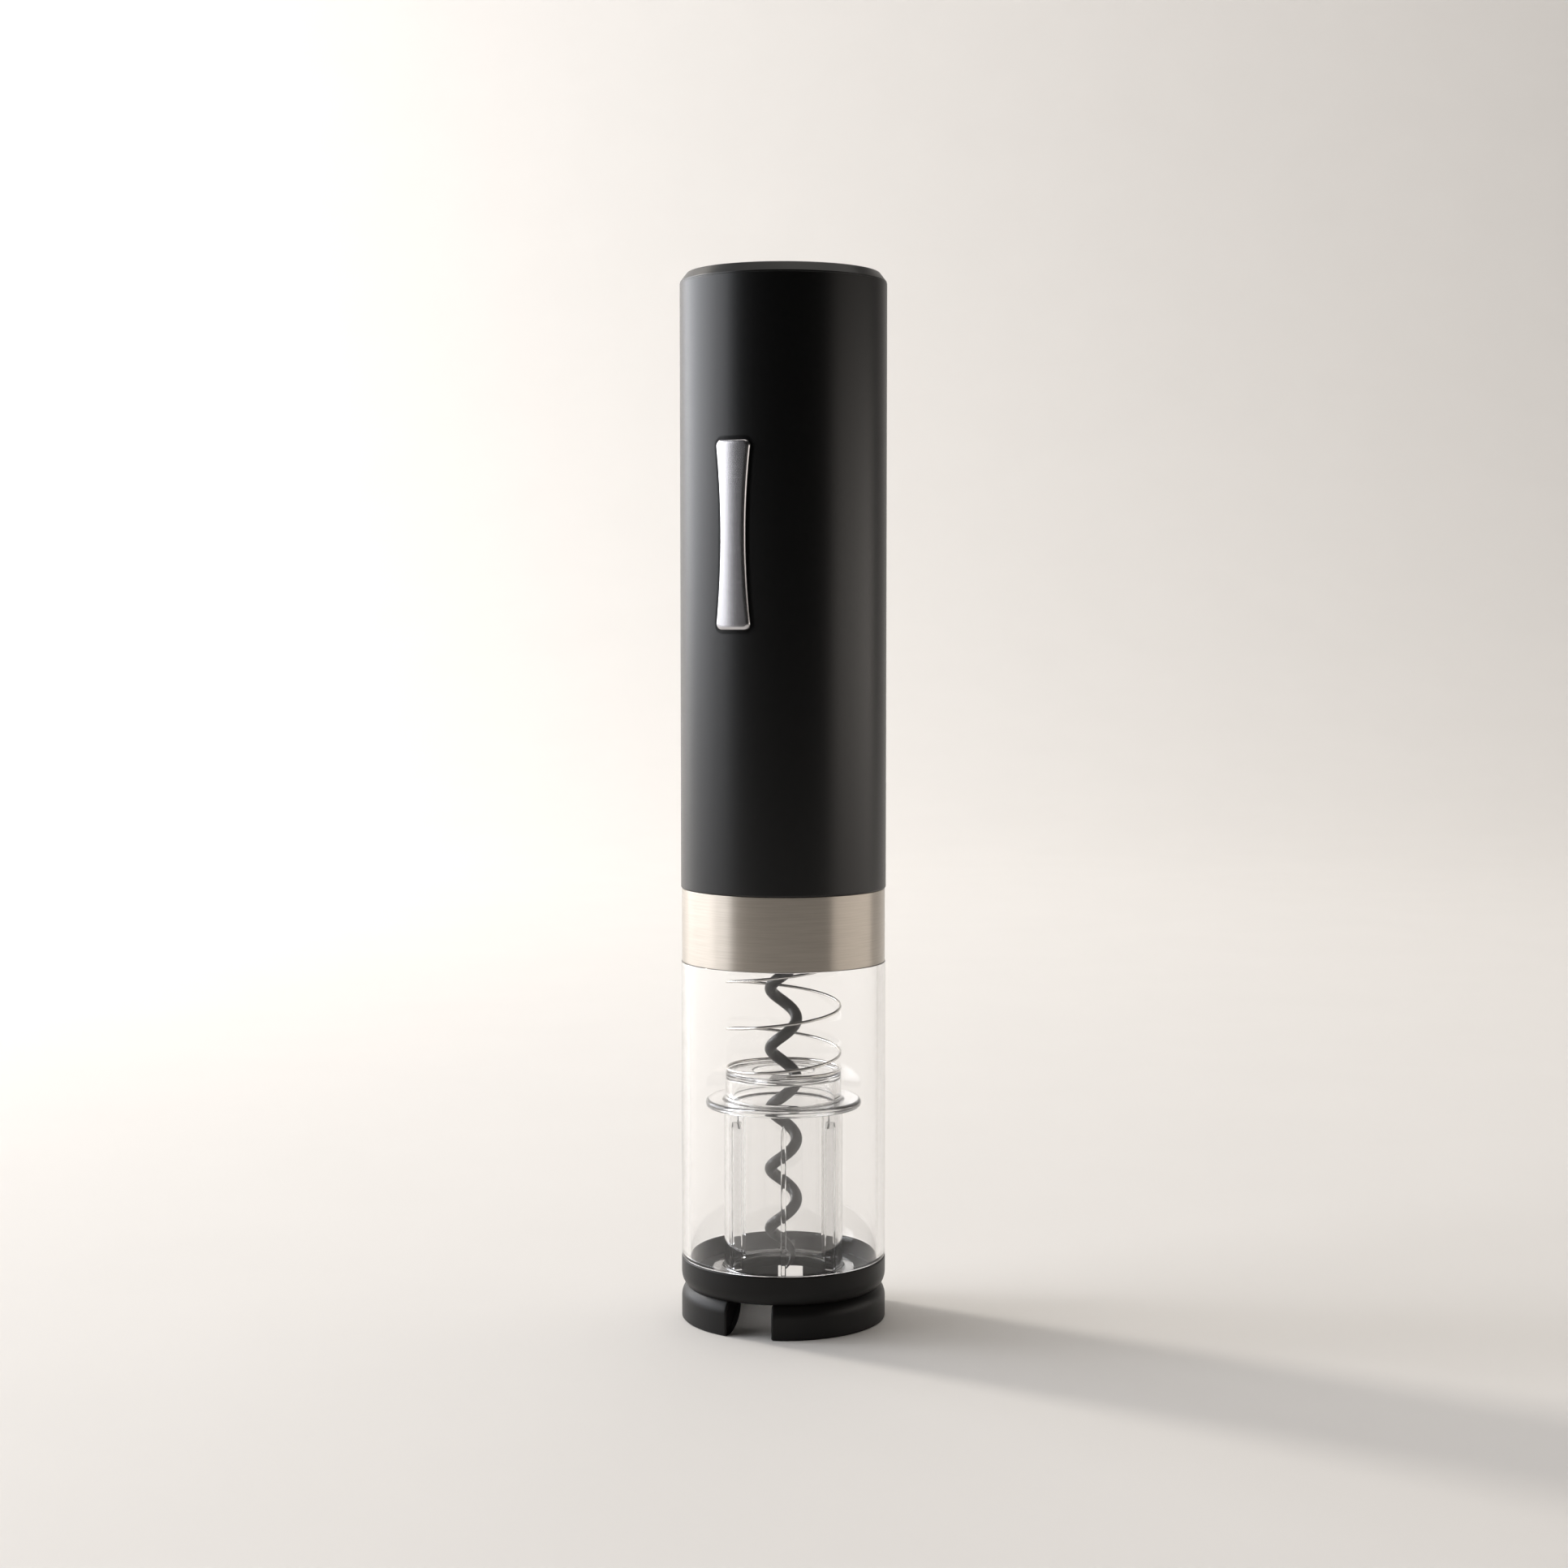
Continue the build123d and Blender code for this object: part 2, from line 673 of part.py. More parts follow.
def make_cork_parts():
    """The cage with its spring, and the worm with its holder."""
    save("cork_cage", cork_cage())
    save("cage_spring", cage_spring())
    save("worm", worm())
    save("worm_holder", worm_holder())
    save("holder_screw", holder_screw())


# ---- gearbox ----
def involute(angle):
    """The involute of an angle in radians."""
    return tan(angle) - angle


def gear_face(teeth, tip_add, root_drop, thickening):
    """A spur gear's outline with arcs for its involute flanks, one tooth centred on +X."""
    pitch = gear_module * teeth / 2
    base = pitch * cos(radians(pressure_angle))
    tip = pitch + tip_add
    root = pitch - root_drop
    start = max(base, root)
    half_pitch_tooth = pi / (2 * teeth) + thickening / (2 * pitch) + involute(radians(pressure_angle))

    def half_angle(radius):
        return half_pitch_tooth - involute(acos(min(1.0, base / radius)))

    def spot(radius, angle):
        return (radius * cos(angle), radius * sin(angle))

    middle = (start + tip) / 2
    edges = []
    for number in range(teeth):
        centre = 2 * pi * number / teeth
        following = 2 * pi * (number + 1) / teeth
        rise = [spot(r, centre - half_angle(r)) for r in (start, middle, tip)]
        fall = [spot(r, centre + half_angle(r)) for r in (tip, middle, start)]
        foot = spot(root, centre + half_angle(start))
        next_foot = spot(root, following - half_angle(start))
        next_rise = spot(start, following - half_angle(start))
        edges.append(ThreePointArc(*rise))
        edges.append(ThreePointArc(rise[-1], spot(tip, centre), fall[0]))
        edges.append(ThreePointArc(*fall))
        if start > root:
            edges.append(Line(fall[-1], foot))
        edges.append(ThreePointArc(foot, spot(root, (centre + following) / 2), next_foot))
        if start > root:
            edges.append(Line(next_foot, next_rise))
    return make_face(Curve() + edges)


def gear(teeth, low, width, bore):
    """A spur gear on the axis."""
    face = gear_face(teeth, addendum, dedendum, -gear_backlash)
    wheel = Pos(0, 0, low) * extrude(face, width)
    return wheel - disc(bore, low, low + width) if bore else wheel


def planet_places():
    """Turns of the planets round the axis, as locations."""
    step = 360 / planet_count
    return [Rot(0, 0, number * step) * Pos(planet_orbit, 0, 0) for number in range(planet_count)]


def planets(low):
    """The planets of one stage, each turned half a tooth to mesh."""
    wheel = gear(planet_teeth, low, gear_width, carrier_pin_radius + running_gap)
    return [spot * Rot(0, 0, 180 / planet_teeth) * wheel for spot in planet_places()]


def carrier(low):
    """Planet carrier: a plate with a pin for each planet."""
    plate = disc(carrier_radius, low, low + carrier_thickness)
    pin_top = low + carrier_thickness + gear_side_gap + gear_width
    for spot in planet_places():
        plate += spot * disc(carrier_pin_radius, low, pin_top)
    return plate


def output_carrier():
    """Second stage carrier, one piece with the shaft that drives the worm holder."""
    return carrier(output_low) + disc(shaft_radius, shaft_low, output_low)


def gearbox_screws():
    """Long screws from the motor plate through the gearbox into the collar."""
    length = motor_low - collar_floor
    group = Part()
    for number in range(gearbox_screw_count):
        turn = 45 + number * 360 / gearbox_screw_count
        spot = Pos(*place(turn, screw_orbit, motor_low)) * Rot(180, 0, 0)
        group += spot * screw(gearbox_screw_radius, length, gearbox_screw_head)
    return group


def motor_screws():
    """The two screws that hold the motor on the rear plate."""
    length = plate_thickness + motor_screw_bite - motor_screw_head[1]
    seat = rear_plate_low + motor_screw_head[1]
    group = Part()
    for side in (-1, 1):
        group += Pos(side * motor_screw_spread, 0, seat) * screw(motor_screw_radius, length, motor_screw_head)
    return group


def motor_screw_wells():
    """Room for the motor screws' heads in the rear plate."""
    head_radius, head_height = motor_screw_head
    well = disc(head_radius + motor_screw_room, rear_plate_low, rear_plate_low + head_height)
    return Part() + [Pos(side * motor_screw_spread, 0, 0) * well for side in (-1, 1)]


def make_gearbox():
    """Two planetary stages in one housing."""
    bush_radius = shaft_radius + bush_wall
    screws = gearbox_screws()
    spaces = gear_face(ring_teeth, dedendum, addendum, gear_backlash)
    teeth = Pos(0, 0, plate_top) * Rot(0, 0, 180 / ring_teeth) * extrude(spaces, rear_plate_low - plate_top)
    save("ring_gear_housing", disc(gearbox_radius, plate_top, rear_plate_low) - teeth - screws)
    save("gearbox_front_plate", ring(gearbox_radius, bush_radius, gearbox_low, plate_top) - screws)
    rear_plate = ring(gearbox_radius, motor_boss_radius, rear_plate_low, motor_low)
    save("gearbox_rear_plate", rear_plate - screws - motor_screws() - motor_screw_wells())
    save("gearbox_screws", screws)
    bush_bore = shaft_radius + running_gap
    save("output_bush", ring(bush_radius, bush_bore, gearbox_low - bush_drop, plate_top))
    save("output_carrier", output_carrier())
    stub_top = first_carrier_low + carrier_thickness
    save("second_sun", gear(sun_teeth, second_gears, gear_width + gear_side_gap, 0)
         + disc(sun_stub_radius, second_gears, stub_top))
    save("first_carrier", carrier(first_carrier_low) - disc(sun_stub_radius, first_carrier_low, stub_top))
    save("first_sun", gear(sun_teeth, first_gears, gear_width, motor_shaft_radius))
    for number, planet in enumerate(planets(second_gears), start=1):
        save(f"second_planet_{number}", planet)
    for number, planet in enumerate(planets(first_gears), start=1):
        save(f"first_planet_{number}", planet)


# ---- motor ----
def motor_can():
    """Steel can, closed at the gearbox end but for the shaft and screw holes."""
    can = disc(motor_radius, motor_low, motor_cap_low)
    can -= disc(motor_radius - motor_wall, motor_low + motor_face, motor_cap_low)
    can += disc(motor_boss_radius, rear_plate_low + motor_boss_gap, motor_low)
    can -= disc(motor_shaft_radius + running_gap, rear_plate_low, motor_cap_low)
    return can - motor_screws()


def motor_magnets():
    """Two arc magnets inside the can."""
    outer = motor_radius - motor_wall
    face = Pos(outer - magnet_thickness / 2, (motor_low + motor_cap_low) / 2) * Rectangle(
        magnet_thickness, motor_length - 2 * rotor_end_gap)
    arc = Rot(0, 0, -magnet_turn / 2) * revolve(Plane.XZ * face, Axis.Z, magnet_turn)
    return Part() + [arc, Rot(0, 0, 180) * arc]


def motor_rotor():
    """Shaft, winding stack and commutator."""
    stack_radius = motor_radius - motor_wall - magnet_thickness - rotor_gap
    stack_top = motor_cap_low - 2 * rotor_end_gap
    rotor = disc(motor_shaft_radius, first_gears, motor_top + motor_tail)
    rotor += disc(stack_radius, motor_low + rotor_end_gap, stack_top)
    return rotor + disc(stack_radius / 2, stack_top, motor_cap_low - commutator_gap)


def motor_end_cap():
    """Moulded end cap with two terminal tags."""
    cap = disc(motor_radius - motor_cap_gap, motor_cap_low, motor_top)
    for side in (-1, 1):
        cap += Pos(side * motor_tag_spread, 0, motor_top) * block(*motor_tag)
    return cap - disc(motor_shaft_radius + running_gap, motor_cap_low, motor_top)


def make_motor():
    """Small brushed motor and its screws."""
    save("motor_can", motor_can())
    save("motor_magnets", motor_magnets())
    save("motor_rotor", motor_rotor())
    save("motor_end_cap", motor_end_cap())
    save("motor_screws", motor_screws())


# ---- battery cell ----
def cell_place():
    """The cell's axis, set off away from the button."""
    return Pos(*place(button_turn, -cell_offset))


def make_cell():
    """Rechargeable cell, its welded strips and the pad under the cap."""
    nub_radius, nub_height = cell_nub
    cell = disc(cell_diameter / 2, cell_low, cell_top - nub_height)
    cell = fillet(cell.edges(), cell_round) + disc(nub_radius, cell_top - nub_height, cell_top)
    save("battery_cell", cell_place() * cell)
    width, depth, thickness = tab_size
    strip = block(width, depth, thickness)
    strips = Part() + [Pos(0, 0, cell_low - thickness) * strip, Pos(0, 0, cell_top) * strip]
    save("cell_strips", cell_place() * strips)
    pad_low = cell_top + thickness
    save("cell_pad", cell_place() * disc(cell_diameter / 2 - pad_inset, pad_low, pad_low + pad_thickness))


# ---- button ----
def button_plane(radius):
    """The plane of the button at a distance from the axis."""
    return outward(button_turn, radius, button_height)


def rocker_face():
    """Metal face of the rocker, bevelled round its edge."""
    inner = body_radius + button_proud - button_face_thickness
    plane = button_plane(inner)
    plate = extrude(button_outline(0), button_face_thickness)
    plate = chamfer(plate.edges().group_by(Axis.Z)[-1], button_bevel)
    return plane * plate


def pivot_hole(radius, width):
    """A bar along the rocker's pivot."""
    bar = Rot(0, 90, 0) * Cylinder(radius, width)
    return button_plane(pivot_radius) * bar


def rocker_base():
    """Moulded body of the rocker, with its pivot boss and two pressing feet."""
    outer = body_radius + button_proud - button_face_thickness
    inner = outer - button_base_depth
    body = extrude(button_outline(-button_base_inset), button_base_depth)
    boss_width, boss_height, boss_drop = pivot_boss
    foot_drop = inner - (board_face + switch_body + switch_plunger[1] + press_travel)
    body += Pos(0, 0, -boss_drop) * block(boss_width, boss_height, boss_drop + overshoot)
    for side in (-1, 1):
        foot = block(*press_foot, foot_drop + overshoot)
        body += Pos(0, side * switch_spread, -foot_drop) * foot
    return button_plane(inner) * body - pivot_hole(pivot_pin_radius + running_gap, body_radius)


def button_cradle():
    """U-shaped cradle on the switch board that holds the pivot pin."""
    width, height = cradle_size
    depth = body_radius - cradle_top_gap - board_face
    cradle = block(width, height, cradle_base)
    for side in (-1, 1):
        cradle += Pos(side * (width - cradle_cheek) / 2, 0, 0) * block(cradle_cheek, height, depth)
    return button_plane(board_face) * cradle - pivot_hole(pivot_pin_radius, body_radius)


def make_button():
    """Rocker, pivot pin and cradle."""
    save("rocker_face", rocker_face())
    save("rocker_base", rocker_base())
    save("rocker_pin", pivot_hole(pivot_pin_radius, cradle_size[0]))
    save("button_cradle", button_cradle())


# ---- boards ----
def board_screws():
    """Screws of the switch board and the charging board."""
    group = Part()
    back = board_face - board_thickness
    for side in (-1, 1):
        group += outward(button_turn, back, button_height + side * board_screw_spread) * screw(
            board_screw_radius, board_screw_length, board_screw_head)
        post = (charge_board_size[0] - charge_post_width) / 2
        spot = outward(180, charge_face - charge_board_thickness, charge_height + light_rise)
        group += spot * Pos(side * post, 0, 0) * screw(
            board_screw_radius, charge_screw_length, board_screw_head)
    return group


def switches():
    """The two push switches under the rocker's feet."""
    radius, height = switch_plunger
    unit = block(switch_side, switch_side, switch_body) + disc(radius, switch_body, switch_body + height)
    return Part() + [outward(button_turn, board_face, button_height + side * switch_spread) * unit
                     for side in (-1, 1)]


def charge_socket():
    """Charging socket's metal shell with its contact tongue."""
    depth = body_radius - socket_inset - charge_face
    outer = extrude(socket_outline(0), depth)
    hollow = Pos(0, 0, socket_floor) * extrude(socket_outline(-socket_wall), depth)
    tongue = block(*socket_tongue, depth - socket_floor)
    return outward(180, charge_face, charge_height) * (outer - hollow + tongue)


def make_boards():
    """Switch board, charging board and what is soldered to them."""
    back = board_face - board_thickness
    screws = board_screws()
    board = button_plane(back) * block(board_size[0], board_size[1], board_thickness)
    save("switch_board", board - screws)
    save("push_switches", switches())
    width, height = charge_board_size
    charge_back = outward(180, charge_face - charge_board_thickness, charge_height + charge_board_shift)
    save("charge_board", charge_back * block(width, height, charge_board_thickness) - screws)
    save("charge_socket", charge_socket())
    pipe = extrude(Circle(light_radius), body_radius - sleeve_inset - charge_face)
    save("charge_light_pipe", outward(180, charge_face, charge_height + light_rise) * pipe)
    save("board_screws", screws)


# ---- inner frame ----
def frame_screw_places():
    """Places of the screws that close the inner frame, on the parting plane."""
    low_end, high_end = frame_screw_ends
    heights = (frame_bottom + low_end, frame_top - high_end)
    parting = [outward(button_turn, 0, height) for height in heights]
    return [plane * Pos(side * frame_screw_side, 0, 0) for plane in parting for side in (-1, 1)]


def frame_screws():
    """Screws along the button's direction, from the back half into the button half."""
    head_seat = -frame_screw_reach + frame_screw_head[1]
    length = 2 * frame_screw_reach - frame_screw_head[1] - frame_screw_cover
    fastener = screw(frame_screw_radius, length, frame_screw_head)
    return Part() + [spot * Pos(0, 0, head_seat) * fastener for spot in frame_screw_places()]


def whole_frame():
    """Both halves of the inner frame as one tube, before it is parted."""
    tube = ring(frame_radius, frame_bore, frame_bottom, frame_top)
    rib_radius = frame_bore + frame_rib_bite
    for rise in frame_motor_ribs:
        low = motor_low + rise
        tube += ring(rib_radius, motor_radius + fit_gap, low, low + frame_rib)
    for rise in frame_cell_ribs:
        low = cell_low + rise
        rib = disc(rib_radius, low, low + frame_rib)
        tube += rib - cell_place() * disc(cell_diameter / 2 + fit_gap, low, low + frame_rib)
    for spot in frame_screw_places():
        tube += spot * Cylinder(frame_boss_radius, 2 * frame_screw_reach)
    inside = disc(frame_radius, frame_bottom, frame_top)
    window_width, window_height_up = button_window
    room = block(window_width, window_height_up, body_radius)
    tube -= outward(button_turn, board_face - board_thickness - board_room, button_height) * room
    for side in (-1, 1):
        bar = block(board_size[0] + crossbar_extra, crossbar_height, body_radius)
        tube += (outward(button_turn, board_face, button_height + side * board_screw_spread) * bar) & inside
    width, height = charge_board_size
    middle = charge_height + charge_board_shift
    opening = outward(180, charge_face - charge_board_thickness - board_room, middle)
    tube -= opening * block(width, height, body_radius)
    for side in (-1, 1):
        post = block(charge_post_width, height + charge_post_extra, body_radius)
        across = side * (width - charge_post_width) / 2
        tube += (outward(180, charge_face, middle) * Pos(across, 0, 0) * post) & inside
    return tube - frame_screws() - board_screws()


def make_frame():
    """The inner frame's two halves and their screws."""
    tube = whole_frame()
    reach = 2 * body_radius
    front = Pos(0, 0, frame_bottom - overshoot) * Rot(0, 0, button_turn) * Pos(0, -reach / 2, 0)
    half_space = front * block(reach, reach, frame_top - frame_bottom + 2 * overshoot)
    save("frame_button_half", tube & half_space)
    save("frame_back_half", tube - half_space)
    save("frame_screws", frame_screws())


os.makedirs("parts", exist_ok=True)
make_foil_cutter()
make_outside()
make_cork_parts()
make_gearbox()
make_motor()
make_cell()
make_button()
make_boards()
make_frame()
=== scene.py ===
from math import asin, ceil, cos, degrees, pi, radians, sin, tan

import bmesh
import bpy
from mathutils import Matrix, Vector


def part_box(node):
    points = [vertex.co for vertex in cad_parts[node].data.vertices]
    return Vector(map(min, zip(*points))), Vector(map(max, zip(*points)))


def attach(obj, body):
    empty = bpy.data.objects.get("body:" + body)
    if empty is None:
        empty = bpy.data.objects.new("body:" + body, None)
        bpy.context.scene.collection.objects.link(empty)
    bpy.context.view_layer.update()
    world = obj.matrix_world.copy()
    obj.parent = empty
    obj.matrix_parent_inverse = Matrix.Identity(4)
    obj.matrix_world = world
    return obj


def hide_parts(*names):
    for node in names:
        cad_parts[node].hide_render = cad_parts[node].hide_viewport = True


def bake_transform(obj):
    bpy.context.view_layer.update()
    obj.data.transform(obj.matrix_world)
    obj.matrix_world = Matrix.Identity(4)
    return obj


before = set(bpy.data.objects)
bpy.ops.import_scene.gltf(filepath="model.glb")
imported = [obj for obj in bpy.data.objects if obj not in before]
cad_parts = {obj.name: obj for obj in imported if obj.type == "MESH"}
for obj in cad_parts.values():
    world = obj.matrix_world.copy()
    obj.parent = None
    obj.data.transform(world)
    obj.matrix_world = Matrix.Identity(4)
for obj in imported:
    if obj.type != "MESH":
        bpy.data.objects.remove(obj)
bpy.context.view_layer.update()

# A cordless electric wine opener standing on its foil cutter. Metres, +Z up, front towards -Y.
# A turn about the axis is in degrees from the front, positive towards +X.

MM = 0.001
SIDES = 288               # facets round the body
CORNER_STEPS = 6          # facets round a corner
ARC_STEP = 1.25           # degrees between the sections of an arc
NUDGE = 1e-4              # share of a wire's length over which its direction is taken
MERGE = 1e-7              # points closer than this, in metres, are one point
EDGE_MIDDLE = 0.3         # where a broken edge's middle point lies, as a share of its radius
SHARP = radians(32)       # a crease steeper than this stays crisp


# ---- sizes read from the frame ----
def low(node):
    """Lowest height of a CAD node."""
    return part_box(node)[0].z


def high(node):
    """Highest height of a CAD node."""
    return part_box(node)[1].z


def reach(node):
    """How far a CAD node reaches along +X."""
    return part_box(node)[1].x


body_radius = reach("body_shell")
shell_low = low("body_shell")
shell_top = high("body_shell")
cap_top = high("top_cap")
band_low = low("steel_band")
band_radius = reach("steel_band")
sleeve_radius = reach("clear_sleeve")
sleeve_low = low("clear_sleeve")
sleeve_top = high("clear_sleeve")
base_low = low("base_ring")
base_top = high("base_ring")
cutter_top = high("cutter_right_arm")
cage_low = low("cork_cage")
cage_top = high("cork_cage")
flange_radius = reach("cork_cage")

# ---- walls, laps and edges ----
shell_wall = 1.6 * MM
shell_edge = 0.45 * MM
shell_top_edge = 0.12 * MM
shell_bore_edge = 0.1 * MM
cap_lap = 5.5 * MM
cap_floor = 1.2 * MM
cap_skirt = 1.6 * MM
cap_land = 0.3 * MM
cap_inset = 0.1 * MM
cap_slope = 1.5 * MM
cap_slope_set = 0.2 * MM
cap_floor_edge = 0.3 * MM
cap_lap_edge = 0.2 * MM
cap_seat_edge = 0.05 * MM
cap_rim_edge = 0.2 * MM
cap_top_edge = 0.6 * MM
band_wall = 0.5 * MM
fit = 0.05 * MM
sleeve_wall = 1.95 * MM
spigot_radius = band_radius - band_wall - fit
base_wall_radius = spigot_radius + fit
bottle_hole = 15.4 * MM
bottle_lip = 1.3 * MM
base_round_high = 3.0 * MM
base_round_in = 1.1 * MM
base_hole_edge = 0.2 * MM
base_rim_edge = 0.3 * MM
base_wall_edge = 0.12 * MM
base_ledge_edge = 0.1 * MM
base_lead_edge = 0.15 * MM

# ---- foil cutter ----
arm_bore = 17.6 * MM
arm_round_high = 3.0 * MM
arm_round_in = 1.3 * MM
arm_inner_wall = 1.4 * MM
arm_foot = 1.5 * MM
arm_edge = 0.3 * MM
arm_top_edge = 0.3 * MM
arm_foot_edge = 0.15 * MM
arm_end_round = 0.45 * MM
right_arm_turns = (-6.8, 164.0)
left_arm_turns = (-175.7, -33.5)
wheel_turns = {"right": (40.0, 125.0), "left": (-60.0, -140.0)}
wheel_centre = 19.1 * MM
wheel_height = 4.6 * MM
slot_radius = 3.9 * MM
slot_half = 0.5 * MM
hinge_turn = 174.0
hinge_radius = 20.9 * MM
knuckle_radius = 2.1 * MM
knuckle_thick = 0.8 * MM
knuckle_lows = {"left": 0.1 * MM, "right": 2.1 * MM}
knuckle_bore = 0.85 * MM
knuckle_rim = 0.12 * MM
tab_turn = 14.0
leg_pocket_radius = 0.55 * MM
leg_reach = 5.0 * MM
leg_back = 1.2 * MM
leg_heights = (1.15 * MM, 1.85 * MM)

# ---- cork cage, spring, worm ----
cage_bore = 12.95 * MM
cage_radius = 13.95 * MM
foot_radius = 17.0 * MM
foot_thick = 1.2 * MM
flange_low = 50.2 * MM
flange_top = 52.0 * MM
collar_radius = 13.6 * MM
collar_wall = 1.5 * MM
collar_hole = 7.0 * MM
rib_count = 6
rib_width = 1.1 * MM
rib_inner = 11.0 * MM
rib_low = 12.2 * MM
rib_high = 48.4 * MM
rib_point = 3.0 * MM
rib_edge = 0.25 * MM
rib_foot_edge = 0.3 * MM
rib_shoulder_round = 0.8 * MM
rib_tip_round = 0.25 * MM
cage_bore_edge = 0.2 * MM
cage_foot_edge = 0.3 * MM
cage_edge = 0.5 * MM
cage_round = 0.8 * MM
cage_collar_fillet = 0.6 * MM
cage_plate_fillet = 0.4 * MM
cage_step_edge = 0.15 * MM
spring_wire = 0.35 * MM
spring_radius = 13.35 * MM
spring_pitch = 11.1 * MM
spring_crossing = 62.65 * MM
spring_closed_turns = 0.9
spring_ease = 0.12        # length over which an end turn closes, in pitches
spring_stations = 560
spring_sides = 16
worm_wire = 1.375 * MM
worm_radius = 3.05 * MM
worm_pitch = 14.24 * MM
worm_crossing = 56.4 * MM
worm_taper_turns = 0.65
worm_point = 0.12 * MM
worm_curl = 0.62
worm_taper_power = 1.6
worm_stations = 640
worm_sides = 32

# ---- rocker button ----
button_turn = -28.0
button_height = 183.2 * MM
button_half_length = 21.4 * MM
button_half_end = 4.5 * MM
button_half_waist = 3.2 * MM
button_corner = 1.5 * MM
button_face_radius = 25.0 * MM
button_plate = 1.0 * MM
button_round = 0.85 * MM
button_end_reach = 2.4 * MM
button_closing = 0.98     # how far the rings of the face close in on its spine
button_gap = 0.5 * MM
pocket_edge = 0.35 * MM
pocket_inner = 20.5 * MM
pocket_flare_steps = 8
pocket_flare_turn = 84    # degrees of the edge's round that are drawn
pocket_flare_out = 2.5    # flare above the surface, in edge radii
charge_height = 147.6 * MM
charge_half = (4.6 * MM, 1.7 * MM)
light_rise = 8.0 * MM
light_hole = 1.25 * MM
light_stretch = 1.001     # width of the light hole, as a share of its height
hole_edge = 0.3 * MM
hole_depth = 3 * MM
hole_round = 0.98         # corner radius of a rear hole, as a share of half its height


# ---- making meshes ----
def place(turn, radius, height, across=0.0):
    """A point at a turn, a radius and a height, moved sideways by across."""
    out_x, out_y = sin(radians(turn)), -cos(radians(turn))
    return Vector((radius * out_x - across * out_y, radius * out_y + across * out_x, height))


def piece(name, points, faces):
    """A mesh object from points and faces, with doubled points joined and faces turned outwards."""
    mesh = bpy.data.meshes.new(name)
    mesh.from_pydata([tuple(point) for point in points], [], faces)
    made = bpy.data.objects.new(name, mesh)
    bpy.context.scene.collection.objects.link(made)
    tidy(made)
    return made


def tidy(made):
    """Joins doubled points, drops empty faces and turns the rest outwards."""
    edit = bmesh.new()
    edit.from_mesh(made.data)
    bmesh.ops.remove_doubles(edit, verts=edit.verts, dist=MERGE)
    bmesh.ops.dissolve_degenerate(edit, edges=edit.edges, dist=MERGE)
    bmesh.ops.recalc_face_normals(edit, faces=edit.faces)
    edit.to_mesh(made.data)
    edit.free()


def rounded(corners, steps=CORNER_STEPS):
    """A closed outline of (x, y, corner radius) points with each corner rounded by an arc."""
    outline = []
    for number, (x, y, radius) in enumerate(corners):
        corner = Vector((x, y, 0))
        if not radius:
            outline.append((x, y))
            continue
        before = Vector((*corners[number - 1][:2], 0)) - corner
        after = Vector((*corners[(number + 1) % len(corners)][:2], 0)) - corner
        half = before.angle(after) / 2
        middle = corner + (before.normalized() + after.normalized()).normalized() * (radius / sin(half))
        start = corner + before.normalized() * (radius / tan(half)) - middle
        end = corner + after.normalized() * (radius / tan(half)) - middle
        for step in range(steps + 1):
            spot = middle + start.slerp(end, step / steps).normalized() * radius
            outline.append((spot.x, spot.y))
    return outline


def eased(start, end, steps=12):
    """The arc that leaves start along the axis and stops at end, as (radius, height, 0) corners."""
    across = end[0] - start[0]
    along = end[1] - start[1]
    radius = (across ** 2 + along ** 2) / (2 * across)
    turn = asin(along / radius)
    shares = [step / steps for step in range(steps + 1)]
    return [(start[0] + radius * (1 - cos(turn * share)), start[1] + radius * sin(turn * share), 0)
            for share in shares]


def turned(name, corners):
    """A piece turned on the axis from its half section of (radius, height, corner radius) points."""
    outline = rounded(corners)
    count = len(outline)
    points = [place(360 * side / SIDES, radius, height)
              for side in range(SIDES) for radius, height in outline]
    faces = []
    for side in range(SIDES):
        for spot in range(count):
            here, there = side * count, (side + 1) % SIDES * count
            following = (spot + 1) % count
            faces.append((here + spot, here + following, there + following, there + spot))
    return piece(name, points, faces)


def stacked(name, rings):
    """A closed skin over a stack of rings with the same number of points, capped at both ends."""
    count = len(rings[0])
    points = [point for ring in rings for point in ring]
    faces = []
    for level in range(len(rings) - 1):
        here, there = level * count, (level + 1) * count
        for spot in range(count):
            following = (spot + 1) % count
            faces.append((here + spot, here + following, there + following, there + spot))
    for first in (0, (len(rings) - 1) * count):
        faces.append(tuple(range(first, first + count)))
    return piece(name, points, faces)


def inset(outline, distance):
    """A closed outline moved inwards by a distance, square to its own edge."""
    area = sum(a[0] * b[1] - b[0] * a[1] for a, b in zip(outline, outline[1:] + outline[:1]))
    side = 1 if area > 0 else -1
    moved = []
    for number, (x, y) in enumerate(outline):
        before = Vector((x, y)) - Vector(outline[number - 1])
        after = Vector(outline[(number + 1) % len(outline)]) - Vector((x, y))
        first = Vector((-before.y, before.x)).normalized() * side
        second = Vector((-after.y, after.x)).normalized() * side
        lean = first + second
        moved.append(tuple(Vector((x, y)) + lean * (2 * distance / lean.length_squared)))
    return moved


